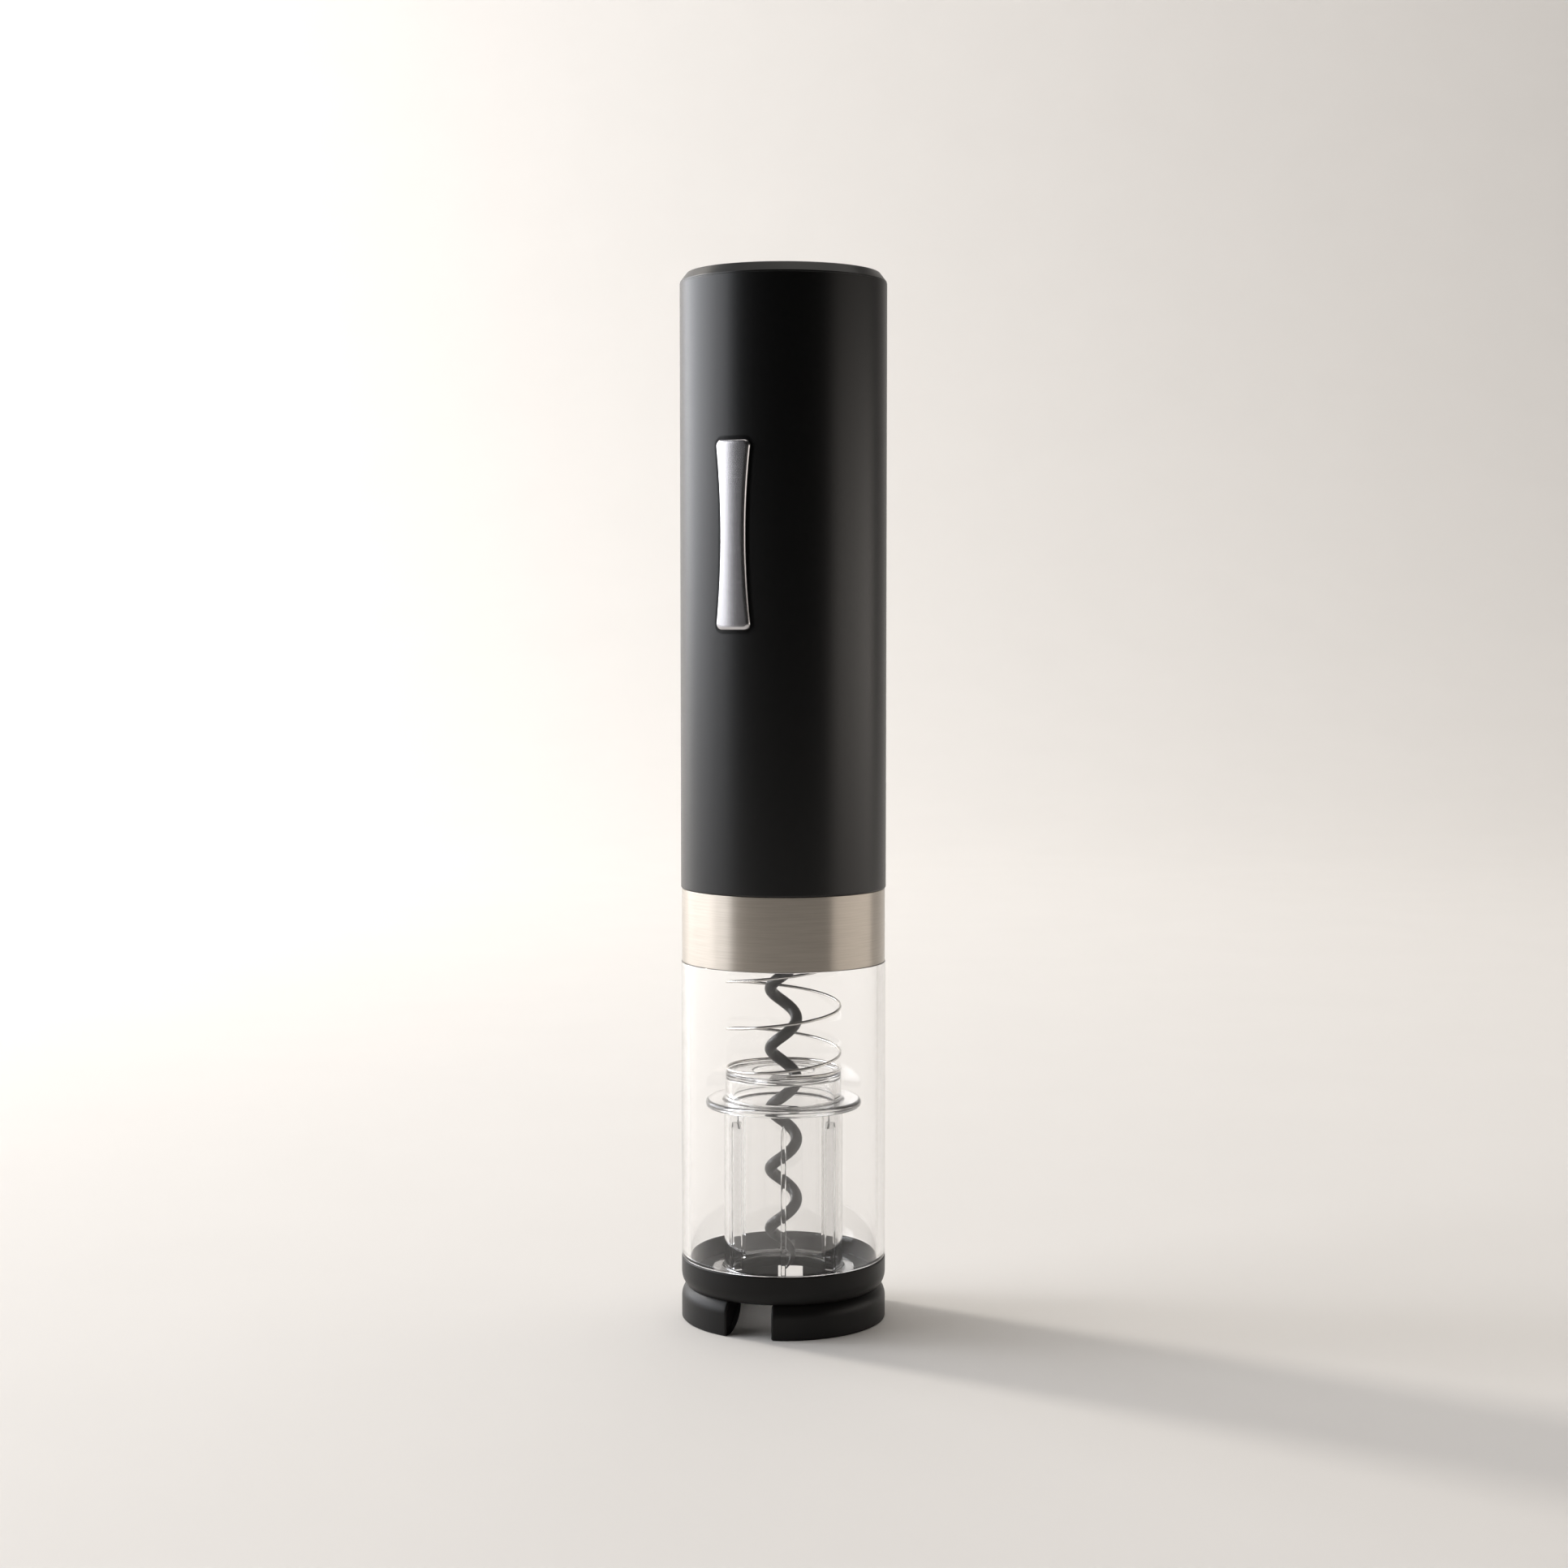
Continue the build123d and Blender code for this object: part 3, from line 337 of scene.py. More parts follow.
def arc_piece(name, outline, start, end, end_round):
    """An outline of (radius, height) points swept from one turn to another, with rounded ends."""
    middle = sum(radius for radius, height in outline) / len(outline)
    stations = []
    for step in range(CORNER_STEPS + 1):
        angle = radians(90 * step / CORNER_STEPS)
        run = degrees(end_round * (1 - sin(angle)) / middle)
        stations.append((run, end_round * (1 - cos(angle))))
    steps = ceil((end - start) / ARC_STEP)
    turns = [(start + run, depth) for run, depth in reversed(stations)]
    clear = stations[0][0]
    turns += [(start + clear + (end - start - 2 * clear) * step / steps, 0) for step in range(1, steps)]
    turns += [(end - run, depth) for run, depth in stations]
    sections = {depth: inset(outline, depth) if depth else outline for run, depth in turns}
    rings = [[place(turn, radius, height) for radius, height in sections[depth]]
             for turn, depth in turns]
    return stacked(name, rings)


def wire(name, centre, thickness, stations, sides=20):
    """A round wire along a centre line; centre and thickness are functions of a share from 0 to 1."""
    rings = []
    for number in range(stations + 1):
        share = number / stations
        spot = centre(share)
        ahead = (centre(min(share + NUDGE, 1)) - centre(max(share - NUDGE, 0))).normalized()
        out = Vector((spot.x, spot.y, 0))
        out = (out - ahead * out.dot(ahead)).normalized()
        across = ahead.cross(out)
        radius = thickness(share)
        angles = [2 * pi * side / sides for side in range(sides)]
        rings.append([spot + (out * cos(angle) + across * sin(angle)) * radius for angle in angles])
    return stacked(name, rings)


def combine(made, tool, operation):
    """Cuts a tool from a piece, or joins it to the piece, and removes the tool."""
    step = made.modifiers.new(operation.lower(), "BOOLEAN")
    step.operation = operation
    step.object = tool
    step.solver = "MANIFOLD"
    graph = bpy.context.evaluated_depsgraph_get()
    result = bpy.data.meshes.new_from_object(made.evaluated_get(graph))
    made.modifiers.remove(step)
    old = made.data
    made.data = result
    bpy.data.meshes.remove(old)
    bpy.data.objects.remove(tool)


def smooth(made):
    """Smooth shading that keeps steep creases, with large faces kept true."""
    edit = bmesh.new()
    edit.from_mesh(made.data)
    for face in edit.faces:
        face.smooth = True
    for edge in edit.edges:
        edge.smooth = len(edge.link_faces) == 2 and edge.calc_face_angle(pi) < SHARP
    edit.to_mesh(made.data)
    edit.free()
    normals = made.modifiers.new("true faces", "WEIGHTED_NORMAL")
    normals.keep_sharp = True
    normals.weight = 100


def show(made, material, body, slot, *nodes):
    """Finishes a piece: shading, material, the body that it rides on and the nodes that it replaces."""
    smooth(made)
    made.data.materials.clear()
    made.data.materials.append(material)
    if body:
        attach(made, body)
    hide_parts(*nodes)
    return made


# ---- making materials ----
TOOTH = 0.3 * MM                             # a moulded or sprayed tooth, as drawn
TOOTH_DEPTH = 0.004 * MM
NOISE_LOW, NOISE_HIGH = 0.3, 0.7             # nearly all of the noise lies between these
MIX_DARK, MIX_LIGHT, MIX_COLOUR = 6, 7, 2    # the mix node's colour inputs and its colour output


def colour(code):
    """An sRGB hex colour as the linear colour that a shader takes."""
    parts = [int(code[first:first + 2], 16) / 255 for first in (0, 2, 4)]
    linear = [part / 12.92 if part <= 0.04045 else ((part + 0.055) / 1.055) ** 2.4 for part in parts]
    return (*linear, 1.0)


def add(tree, kind, inputs=None, **settings):
    """Adds a shader node with its settings; each input is a value or another node's output."""
    made = tree.nodes.new(kind)
    for name, value in settings.items():
        setattr(made, name, value)
    for socket, value in (inputs or {}).items():
        if isinstance(value, bpy.types.NodeSocket):
            tree.links.new(value, made.inputs[socket])
        else:
            made.inputs[socket].default_value = value
    return made


def finish(name, **values):
    """A new material with one shader; values set its sockets, with _ for a space in a socket's name."""
    material = bpy.data.materials.new(name)
    material.use_nodes = True
    shader = material.node_tree.nodes["Principled BSDF"]
    for socket, value in values.items():
        shader.inputs[socket.replace("_", " ")].default_value = value
    return material, material.node_tree, shader


def grain(tree, size, stretch=(1, 1, 1), detail=2.0):
    """Noise fixed to the piece, with grains of a size in metres that stretch makes longer."""
    spot = add(tree, "ShaderNodeTexCoord").outputs["Object"]
    scale = tuple(1 / (size * factor) for factor in stretch)
    spread = add(tree, "ShaderNodeMapping", {"Vector": spot, "Scale": scale})
    inputs = {"Vector": spread.outputs["Vector"], "Scale": 1.0, "Detail": detail}
    return add(tree, "ShaderNodeTexNoise", inputs).outputs["Fac"]


def vary(tree, socket, source, lowest, highest):
    """Links a pattern to a shader's socket, spread between two values."""
    span = add(tree, "ShaderNodeMapRange", {"Value": source, "From Min": NOISE_LOW, "From Max": NOISE_HIGH,
                                            "To Min": lowest, "To Max": highest})
    tree.links.new(span.outputs["Result"], socket)


def tint(tree, socket, source, dark, light):
    """Links a pattern to a colour socket, blended between two colours."""
    blend = add(tree, "ShaderNodeMix", {"Factor": source}, data_type="RGBA")
    blend.inputs[MIX_DARK].default_value = colour(dark)
    blend.inputs[MIX_LIGHT].default_value = colour(light)
    tree.links.new(blend.outputs[MIX_COLOUR], socket)


def relief(tree, shader, source, height):
    """Links a pattern to a shader as surface relief of a height in metres."""
    bump = add(tree, "ShaderNodeBump", {"Height": source, "Distance": height, "Strength": 1.0})
    tree.links.new(bump.outputs["Normal"], shader.inputs["Normal"])


def soft_touch_lacquer():
    """Soft-touch lacquer sprayed on moulded ABS: deep black, a wide dull sheen, a fine even tooth."""
    material, tree, shader = finish("soft_touch_lacquer_on_abs", IOR=1.44)
    # the real tooth is about 0.05 mm; drawn at 0.3 mm so that it shows
    tooth = grain(tree, TOOTH)
    cloud = grain(tree, 18 * MM)
    tint(tree, shader.inputs["Base Color"], cloud, "060607", "080809")
    vary(tree, shader.inputs["Roughness"], tooth, 0.31, 0.37)
    relief(tree, shader, tooth, TOOTH_DEPTH)
    return material


def satin_abs(name, dark, light, roughness):
    """Black ABS moulded in a spark-eroded tool: satin, with a fine even tooth."""
    material, tree, shader = finish(name, IOR=1.53, Specular_IOR_Level=0.22)
    # the real tooth is about 0.05 mm; drawn at 0.3 mm so that it shows
    tooth = grain(tree, TOOTH)
    tint(tree, shader.inputs["Base Color"], grain(tree, 9 * MM), dark, light)
    vary(tree, shader.inputs["Roughness"], tooth, roughness - 0.03, roughness + 0.03)
    relief(tree, shader, tooth, TOOTH_DEPTH)
    return material


def clear_moulding(name, ior, haze, ripple):
    """Clear plastic, moulded and polished: bright, with a slight ripple in its walls."""
    material, tree, shader = finish(name, IOR=ior, Transmission_Weight=1.0 - haze, Roughness=0.015)
    shader.inputs["Base Color"].default_value = colour("ffffff")
    flow = grain(tree, 14 * MM, stretch=(1, 1, 3), detail=1.0)
    relief(tree, shader, flow, ripple)
    return material


def brushed_metal(name, dark, light, roughness, line, run, depth, anisotropy, radial):
    """Metal brushed with a fine belt: silky lines one way that spread the light across them."""
    material, tree, shader = finish(name, Metallic=1.0, Anisotropic=anisotropy)
    # real brushed lines are about 0.05 mm wide; drawn coarser, at the given width, so that they show
    lines = grain(tree, line, stretch=(run, run, 1), detail=3.0)
    tint(tree, shader.inputs["Base Color"], lines, dark, light)
    vary(tree, shader.inputs["Roughness"], lines, 0.95 * roughness, 1.05 * roughness)
    relief(tree, shader, lines, depth)
    if radial:
        tangent = add(tree, "ShaderNodeTangent", direction_type="RADIAL", axis="Z")
        tree.links.new(tangent.outputs["Tangent"], shader.inputs["Tangent"])
        shader.inputs["Anisotropic Rotation"].default_value = 0.25
    return material


def plain_metal(name, dark, light, roughness, size):
    """Metal as machined, drawn or plated, with a faint mottle."""
    material, tree, shader = finish(name, Metallic=1.0)
    mottle = grain(tree, size)
    tint(tree, shader.inputs["Base Color"], mottle, dark, light)
    vary(tree, shader.inputs["Roughness"], mottle, roughness - 0.04, roughness + 0.04)
    return material


def non_stick_coating():
    """PTFE coating baked on steel wire: satin black, slightly pebbled."""
    material, tree, shader = finish("ptfe_coating_on_steel_wire", IOR=1.4)
    # the real pebbling is about 0.1 mm; drawn at 0.35 mm so that it shows
    pebble = grain(tree, 0.35 * MM)
    tint(tree, shader.inputs["Base Color"], pebble, "141314", "1d1c1c")
    vary(tree, shader.inputs["Roughness"], pebble, 0.27, 0.36)
    relief(tree, shader, pebble, 0.006 * MM)
    return material


def inner_material(name, dark, light, roughness, size):
    """Finish of an inner part that shows only when the opener is taken apart."""
    material, tree, shader = finish(name)
    mottle = grain(tree, size)
    tint(tree, shader.inputs["Base Color"], mottle, dark, light)
    vary(tree, shader.inputs["Roughness"], mottle, roughness - 0.05, roughness + 0.05)
    return material


shell_black = soft_touch_lacquer()
ring_black = satin_abs("satin_black_abs", "0c0b0b", "100f0e", 0.38)
cutter_black = satin_abs("spark_textured_black_abs", "0c0b0b", "100f0e", 0.42)
sleeve_clear = clear_moulding("clear_polished_acrylic", 1.49, 0.0, 0.02 * MM)
cage_clear = clear_moulding("clear_moulded_polycarbonate", 1.58, 0.0, 0.008 * MM)
band_steel = brushed_metal("stainless_steel_brushed_round", "a8a097", "c4bdb3", roughness=0.34,
                           line=0.22 * MM, run=40, depth=0.0025 * MM, anisotropy=0.8, radial=True)
button_aluminium = brushed_metal("anodised_aluminium_brushed_across", "b8b6b8", "c6c4c6", roughness=0.25,
                                 line=0.14 * MM, run=60, depth=0.0002 * MM, anisotropy=0.25, radial=False)
worm_black = non_stick_coating()
spring_nickel = plain_metal("nickel_plated_spring_wire", "c9c6c2", "dedbd7", 0.14, 0.6 * MM)

slot_materials = {
    "black_abs": shell_black,
    "ring_abs": ring_black,
    "cutter_abs": cutter_black,
    "clear_plastic": sleeve_clear,
    "brushed_steel": band_steel,
    "button_metal": button_aluminium,
    "coated_steel": worm_black,
    "spring_steel": spring_nickel,
    "bright_steel": plain_metal("machined_steel", "a9a8a8", "c0bfbe", 0.28, 0.5 * MM),
    "gear_steel": plain_metal("sintered_steel", "6a6968", "848280", 0.5, 0.25 * MM),
    "bronze": plain_metal("sintered_bronze", "9a7646", "b38c56", 0.45, 0.25 * MM),
    "magnet": inner_material("pressed_ferrite", "262525", "343231", 0.6, 0.4 * MM),
    "inner_plastic": inner_material("black_moulded_nylon", "1d1d1e", "262627", 0.5, 0.6 * MM),
    "board": inner_material("solder_masked_glass_epoxy", "1f5236", "2a6644", 0.35, 0.8 * MM),
    "cell_wrap": inner_material("pvc_shrink_wrap", "2c5f96", "356ca6", 0.3, 4 * MM),
    "foam": inner_material("closed_cell_foam", "2e2e2e", "3c3c3c", 0.9, 0.5 * MM),
    "light_pipe": clear_moulding("clear_moulded_acrylic_light_pipe", 1.49, 0.25, 0.01 * MM),
}
for node_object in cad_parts.values():
    for slot in node_object.material_slots:
        slot.material = slot_materials[slot.material.name.split(".")[0]]


# ---- foil cutter ----
def arm_outline():
    """Half section of a foil cutter arm."""
    shoulder_low = cutter_top - arm_round_high
    shoulder = eased((body_radius, shoulder_low), (body_radius - arm_round_in, cutter_top))
    foot_out = body_radius - arm_edge
    foot_in = foot_out - arm_foot
    hollow = eased((arm_bore, cutter_top - arm_inner_wall), (foot_in, 0))
    corners = [(arm_bore, cutter_top, arm_top_edge)]
    corners += hollow
    corners += [(foot_out, 0, arm_foot_edge), (body_radius, arm_edge, arm_foot_edge)]
    corners += shoulder
    return rounded(corners, 3)


def knuckle(side, start, end):
    """Hinge tab and knuckle of one arm."""
    bottom = knuckle_lows[side]
    edge = 0.15 * MM
    top = bottom + knuckle_thick
    near, far = hinge_radius - knuckle_radius, hinge_radius + knuckle_radius
    corners = [(near, bottom, edge), (far, bottom, edge), (far, top, edge), (near, top, edge)]
    return arc_piece("tab_blank", rounded(corners, 2), start, end, edge)


def upright_disc(name, turn, centre, radius, bottom, top, edge=0.0, sides=64):
    """A disc that stands on the level at a turn, with its rims rounded."""
    middle = place(turn, centre, 0)
    levels = [(radius - edge, bottom), (radius, bottom + edge), (radius, top - edge),
              (radius - edge, top)]
    rings = [[middle + place(360 * side / sides, ring, height) for side in range(sides)]
             for ring, height in levels]
    return stacked(name, rings)


def leg_pocket(height, turn):
    """Room in an arm for a leg of the hinge spring."""
    start = place(turn, hinge_radius + leg_back, height, -leg_reach)
    end = place(turn, hinge_radius + leg_back, height, leg_reach)
    return wire("pocket", lambda share: start.lerp(end, share), lambda share: leg_pocket_radius, 1, 24)


def cutter_arm(name, side, turns, tab_start, tab_end):
    """One curved arm with rounded ends, wheel slots and its hinge knuckle."""
    arm = arc_piece(name, arm_outline(), *turns, arm_end_round)
    for turn in wheel_turns[side]:
        bottom, top = wheel_height - slot_half, wheel_height + slot_half
        combine(arm, upright_disc("slot", turn, wheel_centre, slot_radius, bottom, top), "DIFFERENCE")
    bottom = knuckle_lows[side]
    top = bottom + knuckle_thick
    combine(arm, knuckle(side, tab_start, tab_end), "UNION")
    eye = upright_disc("eye", hinge_turn, hinge_radius, knuckle_radius, bottom, top, knuckle_rim)
    combine(arm, eye, "UNION")
    bore = upright_disc("bore", hinge_turn, hinge_radius, knuckle_bore, bottom - MM, top + MM)
    combine(arm, bore, "DIFFERENCE")
    for height in leg_heights:
        combine(arm, leg_pocket(height, hinge_turn), "DIFFERENCE")
    return arm


right_arm = cutter_arm("foil_cutter_arm_right", "right", right_arm_turns,
                       hinge_turn - tab_turn, hinge_turn)
show(right_arm, cutter_black, "cutter_right", "cutter_abs", "cutter_right_arm")
left_arm = cutter_arm("foil_cutter_arm_left", "left", left_arm_turns,
                      hinge_turn - 360, hinge_turn - 360 + tab_turn)
show(left_arm, cutter_black, "cutter_left", "cutter_abs", "cutter_left_arm")


# ---- outside tube ----
def moulded_base():
    """Base ring: rounded underside, bottle hole, ledge for sleeve and cage."""
    underside = eased((body_radius, base_low + base_round_high), (body_radius - base_round_in, base_low))
    lead = sleeve_low - base_low - bottle_lip
    corners = [(bottle_hole, base_low, base_hole_edge)]
    corners += list(reversed(underside))
    corners += [(body_radius, base_top, base_rim_edge), (base_wall_radius, base_top, base_wall_edge),
                (base_wall_radius, sleeve_low, base_ledge_edge),
                (bottle_hole + lead, sleeve_low, base_lead_edge),
                (bottle_hole, base_low + bottle_lip, base_hole_edge)]
    return turned("base_ring_moulding", corners)


def window_sleeve():
    """Clear sleeve with a spigot at each end."""
    bore = sleeve_radius - sleeve_wall
    edge = 0.15 * MM
    bevel = 0.45 * MM
    corners = [(bore, sleeve_low, edge), (spigot_radius, sleeve_low, edge),
               (spigot_radius, base_top, 0), (sleeve_radius, base_top, bevel),
               (sleeve_radius, band_low, edge), (spigot_radius, band_low, 0),
               (spigot_radius, sleeve_top, edge), (bore, sleeve_top, edge)]
    return turned("window_sleeve", corners)


def trim_band():
    """Brushed steel band with broken edges."""
    bore = band_radius - band_wall
    edge = 0.14 * MM
    corners = [(bore, band_low, edge), (band_radius, band_low, edge), (band_radius, shell_low, edge),
               (bore, shell_low, edge)]
    return turned("trim_band", corners)


def closing_cap():
    """Cap with a sloped rim."""
    lap = body_radius - shell_wall - fit
    rim = body_radius - cap_inset
    land = shell_top + cap_land
    corners = [(0, shell_top - cap_floor, 0), (lap - cap_skirt, shell_top - cap_floor, cap_floor_edge),
               (lap - cap_skirt, shell_top - cap_lap, cap_lap_edge),
               (lap, shell_top - cap_lap, cap_lap_edge), (lap, shell_top, cap_seat_edge),
               (rim, shell_top, cap_seat_edge), (rim, land, cap_rim_edge),
               (body_radius - cap_slope - cap_slope_set, cap_top, cap_top_edge), (0, cap_top, 0)]
    return turned("closing_cap", corners)


def waisted(grow, steps=36):
    """The rocker's waisted outline as (across, along) points, grown by an amount."""
    bow = button_half_end - button_half_waist
    radius = (button_half_length ** 2 + bow ** 2) / (2 * bow)
    middle = button_half_waist + radius
    reach_along = button_half_length - 2 * button_corner
    corners = []
    for side in (1, -1):
        corners.append((side * button_half_end, -side * button_half_length, button_corner))
        for step in range(steps + 1):
            along = reach_along * (2 * step / steps - 1)
            corners.append((side * (middle - (radius ** 2 - along ** 2) ** 0.5), side * along, 0))
        corners.append((side * button_half_end, side * button_half_length, button_corner))
        for step in range(9):
            corners.append((side * button_end_reach * (1 - step / 4), side * button_half_length, 0))
    outline = rounded(corners, 10)
    return inset(outline, -grow) if grow else outline


def pocket_tool():
    """Cutter for the rocker's pocket: the outline follows the shell and flares into a rounded edge."""
    shares = [step / pocket_flare_steps for step in range(pocket_flare_steps)]
    levels = [(pocket_inner, 0.0), (body_radius - pocket_edge, 0.0)]
    for share in shares[1:]:
        angle = radians(pocket_flare_turn * share / shares[-1])
        levels.append((body_radius - pocket_edge * (1 - sin(angle)), pocket_edge * (1 - cos(angle))))
    levels.append((body_radius + MM, pocket_edge * pocket_flare_out))
    rings = []
    for radius, flare in levels:
        turns = [(degrees(x / body_radius), y) for x, y in waisted(button_gap + flare)]
        rings.append([place(button_turn + turn, radius, button_height + y) for turn, y in turns])
    return stacked("pocket", rings)


def rear_hole(half_wide, half_high, height):
    """Cutter for a round-ended hole at the rear."""
    signs = ((-1, -1), (1, -1), (1, 1), (-1, 1))
    corners = [(x * half_wide, y * half_high, half_high * hole_round) for x, y in signs]
    drawn = EDGE_MIDDLE * hole_edge
    levels = [(body_radius - hole_depth, 0), (body_radius - hole_edge, 0), (body_radius - drawn, drawn),
              (body_radius, hole_edge), (body_radius + MM, hole_edge + MM)]
    rings = []
    for radius, flare in levels:
        outline = inset(rounded(corners, 12), -flare) if flare else rounded(corners, 12)
        rings.append([place(180, radius, height + y, x) for x, y in outline])
    return stacked("rear_hole", rings)


def casing():
    """Upper casing with the charging holes, and a cut meant to open the rocker's pocket."""
    bore = body_radius - shell_wall
    corners = [(bore, shell_low, shell_bore_edge), (body_radius, shell_low, shell_edge),
               (body_radius, shell_top, shell_top_edge), (bore, shell_top, shell_bore_edge)]
    shell = turned("casing_shell", corners)
    # known fault: this cut leaves the wall closed, so the casing has no opening behind the rocker
    combine(shell, pocket_tool(), "DIFFERENCE")
    combine(shell, rear_hole(*charge_half, charge_height), "DIFFERENCE")
    light_height = charge_height + light_rise
    combine(shell, rear_hole(light_hole * light_stretch, light_hole, light_height), "DIFFERENCE")
    return shell


show(moulded_base(), ring_black, "opener", "ring_abs", "base_ring")
show(window_sleeve(), sleeve_clear, "opener", "clear_plastic", "clear_sleeve")
show(trim_band(), band_steel, "opener", "brushed_steel", "steel_band")
show(casing(), shell_black, "opener", "black_abs", "body_shell")
show(closing_cap(), shell_black, "opener", "black_abs", "top_cap")


# ---- rocker ----
def beyond(along, spine):
    """How far a point lies beyond the end of the rocker's spine, with its sign."""
    return max(along - spine, 0) + min(along + spine, 0)


def rocker_plate():
    """Metal face of the rocker: crowned across like the body, with a soft rounded edge."""
    outline = waisted(0)
    inner = button_face_radius - button_plate
    rings = [[place(button_turn, inner, button_height + y, x) for x, y in outline]]

    def on_face(x, y, drop):
        crown = button_face_radius - (button_face_radius ** 2 - x ** 2) ** 0.5
        return place(button_turn, button_face_radius - crown - drop, button_height + y, x)

    steps = 10
    for step in range(steps + 1):
        angle = radians(90 * step / steps)
        ring = inset(outline, button_round * (1 - cos(angle))) if step else outline
        drop = button_round * (1 - sin(angle))
        rings.append([on_face(x, y, drop) for x, y in ring])
    spine = button_half_length - button_half_end
    for step in range(1, steps + 1):
        share = 1 - button_closing * step / steps
        rings.append([on_face(x * share, y - beyond(y, spine) * (1 - share), 0) for x, y in ring])
    return stacked("rocker_plate", rings)


show(rocker_plate(), button_aluminium, "rocker", "button_metal", "rocker_face")


# ---- cork cage ----
def cage_rib(turn):
    """One gripping rib, pointed at the top."""
    half = rib_width / 2
    outer = (cage_bore + cage_radius) / 2
    shoulder = rib_high - rib_point
    corners = [(-half, rib_low, rib_foot_edge), (half, rib_low, rib_foot_edge),
               (half, shoulder, rib_shoulder_round), (0, rib_high, rib_tip_round),
               (-half, shoulder, rib_shoulder_round)]
    outline = rounded(corners, 4)
    middle_edge = EDGE_MIDDLE * rib_edge
    levels = [(rib_inner, rib_edge), (rib_inner + middle_edge, middle_edge), (rib_inner + rib_edge, 0),
              (outer, 0)]
    rings = []
    for radius, drawn in levels:
        ring = inset(outline, drawn) if drawn else outline
        rings.append([place(turn, radius, y, x) for x, y in ring])
    return stacked("rib", rings)


def moulded_cage():
    """Clear cork cage: foot, tube, flange and collar, with ribs inside."""
    bore = collar_radius - collar_wall
    plate = cage_top - collar_wall
    foot_top = cage_low + foot_thick
    corners = [(cage_bore, cage_low, cage_bore_edge), (foot_radius, cage_low, cage_foot_edge),
               (foot_radius, foot_top, cage_edge), (cage_radius, foot_top, cage_round),
               (cage_radius, flange_low, cage_edge), (flange_radius, flange_low, cage_round),
               (flange_radius, flange_top, cage_round), (collar_radius, flange_top, cage_collar_fillet),
               (collar_radius, cage_top, cage_edge), (collar_hole, cage_top, cage_edge),
               (collar_hole, plate, cage_plate_fillet), (bore, plate, cage_edge),
               (bore, flange_low, cage_step_edge), (cage_bore, flange_low, cage_step_edge)]
    cage = turned("cork_cage_moulding", corners)
    for number in range(rib_count):
        combine(cage, cage_rib(360 * number / rib_count), "UNION")
    return cage


show(moulded_cage(), cage_clear, "cage", "clear_plastic", "cork_cage")


# ---- cage spring and worm ----
def helix(radius, pitch, crossing, height):
    """A point of a right-handed helix that crosses the +X side at a height."""
    angle = 2 * pi * (height - crossing) / pitch
    return Vector((radius * cos(angle), radius * sin(angle), height))


def wound_spring():
    """Compression spring with its end turns closed flat."""
    bottom = low("cage_spring") + spring_wire
    top = high("cage_spring") - spring_wire
    start = 2 * pi * (bottom - spring_crossing) / spring_pitch
    end = 2 * pi * (top - spring_crossing) / spring_pitch
    closed = 2 * pi * spring_closed_turns
    ease = spring_pitch * spring_ease

    def settled(gap):
        return 0.5 * (gap + (gap ** 2 + ease ** 2) ** 0.5)

    def flat_at(height):
        lift = height - bottom
        drop = top - height
        return bottom + settled(lift) if lift < drop else top - settled(drop)

    def centre(share):
        angle = start - closed + (end - start + 2 * closed) * share
        height = flat_at(spring_crossing + spring_pitch * angle / (2 * pi))
        return Vector((spring_radius * cos(angle), spring_radius * sin(angle), height))

    return wire("cage_spring_wound", centre, lambda share: spring_wire, spring_stations,
                spring_sides)


def wound_worm():
    """Corkscrew wire with a tapered, leaning point."""
    bottom = low("worm")
    taper = worm_taper_turns * worm_pitch
    top = high("worm")
    tapered = taper / (top - bottom)

    def lean(share):
        return max(0.0, 1 - share / tapered)

    def centre(share):
        height = bottom + (top - bottom) * share
        return helix(worm_radius * (1 - worm_curl * lean(share) ** 2), worm_pitch, worm_crossing, height)

    def thickness(share):
        return worm_point + (worm_wire - worm_point) * (1 - lean(share) ** worm_taper_power)

    return wire("corkscrew_worm", centre, thickness, worm_stations, worm_sides)


spring = show(wound_spring(), spring_nickel, None, "spring_steel", "cage_spring")
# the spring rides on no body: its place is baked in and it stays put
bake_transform(spring)
show(wound_worm(), worm_black, "worm_drive", "coated_steel", "worm")


# ---- table, lights and camera ----
LAMP_WATTS = 4            # power of a square metre of lamp at a surface brightness of 1


def sweep():
    """Pale seamless sweep: floor, easy bend and wall."""
    front, back, tall, bend, half = -0.8, 2.0, 3.0, 0.9, 3.2
    profile = [(front, 0.0), (back - bend, 0.0)]
    profile += [(back - bend + bend * sin(radians(angle)), bend * (1 - cos(radians(angle))))
                for angle in range(5, 90, 5)]
    profile += [(back, bend), (back, tall)]
    points = [(side * half, y, z) for side in (-1, 1) for y, z in profile]
    count = len(profile)
    faces = [(spot, spot + 1, count + spot + 1, count + spot) for spot in range(count - 1)]
    floor_piece = piece("studio_sweep", points, faces)
    for face in floor_piece.data.polygons:
        face.use_smooth = True
    if floor_piece.data.polygons[0].normal.z < 0:
        floor_piece.data.flip_normals()
    material, tree, shader = finish("matt_painted_board", Roughness=0.8)
    tint(tree, shader.inputs["Base Color"], grain(tree, 60 * MM), "e5e2de", "e8e5e1")
    floor_piece.data.materials.append(material)


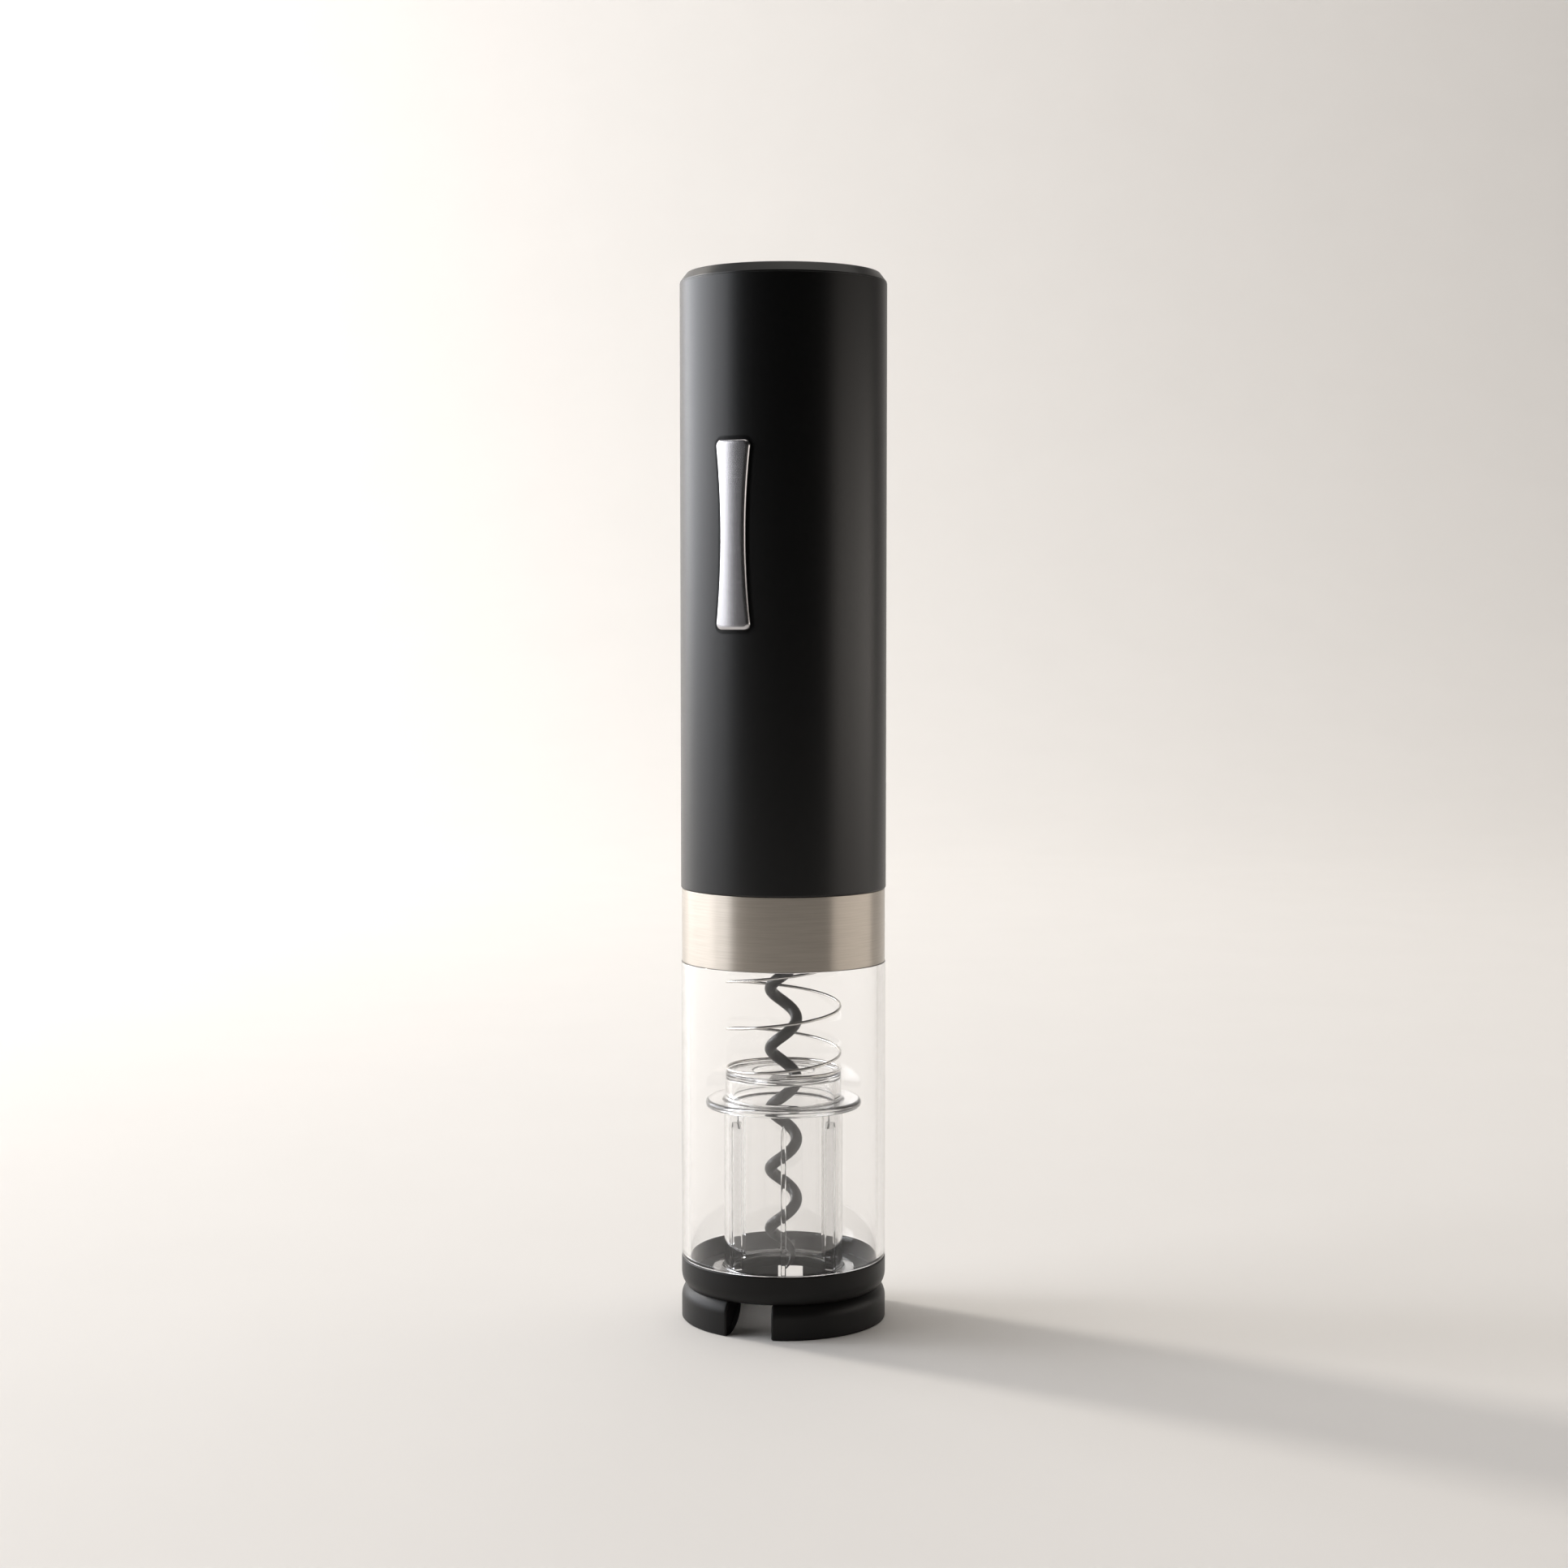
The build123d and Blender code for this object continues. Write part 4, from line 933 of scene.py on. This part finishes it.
def aim(made, target):
    """Points a light or the camera at a target."""
    made.rotation_euler = (Vector(target) - made.location).to_track_quat("-Z", "Y").to_euler()


def softbox(name, spot, target, width, height, brightness, tone):
    """An area light of a size and a surface brightness."""
    lamp = bpy.data.lights.new(name, "AREA")
    lamp.shape = "RECTANGLE"
    lamp.size = width
    lamp.size_y = height
    lamp.energy = brightness * width * height * LAMP_WATTS
    lamp.color = colour(tone)[:3]
    made = bpy.data.objects.new(name, lamp)
    made.location = spot
    bpy.context.scene.collection.objects.link(made)
    aim(made, target)


def around(turn, distance, height):
    """A spot at a compass turn from +X, a distance and a height."""
    return (distance * cos(radians(turn)), distance * sin(radians(turn)), height)


sweep()
middle = (0, 0, 0.12)
softbox("window_left", around(159, 2.1, 0.73), middle, 2.4, 1.2, 4.2, "f8faff")
softbox("window_left_near", around(199, 2.1, 0.73), middle, 0.7, 1.2, 3.1, "f8faff")
softbox("key_behind_left", around(146, 2.2, 1.75), middle, 0.3, 0.3, 74.0, "fff9f0")
softbox("card_right", around(-4, 1.5, 0.17), middle, 1.75, 0.28, 2.2, "f6eee6")
softbox("overhead", (0.3, 0.55, 2.2), (0.1, 0.7, 0), 2.4, 1.8, 1.15, "fffaf4")
softbox("wall_wash", (-2.0, 0.3, 2.2), (-1.0, 1.9, 1.3), 1.0, 1.0, 4.0, "f6f9ff")

world = bpy.data.worlds.new("studio_air")
bpy.context.scene.world = world
world.use_nodes = True
world.node_tree.nodes["Background"].inputs["Color"].default_value = colour("242323")
world.node_tree.nodes["Background"].inputs["Strength"].default_value = 1.0
bpy.context.scene.view_settings.view_transform = "Standard"

camera_tilt = 3.614       # degrees below the level
camera_data = bpy.data.cameras.new("studio_camera")
camera_data.lens = 60.3
camera_data.sensor_width = 36
camera = bpy.data.objects.new("studio_camera", camera_data)
camera.location = (0.00013, -0.61353, 0.16456)
camera.rotation_euler = (radians(90 - camera_tilt), 0, 0)
bpy.context.scene.collection.objects.link(camera)
bpy.context.scene.camera = camera
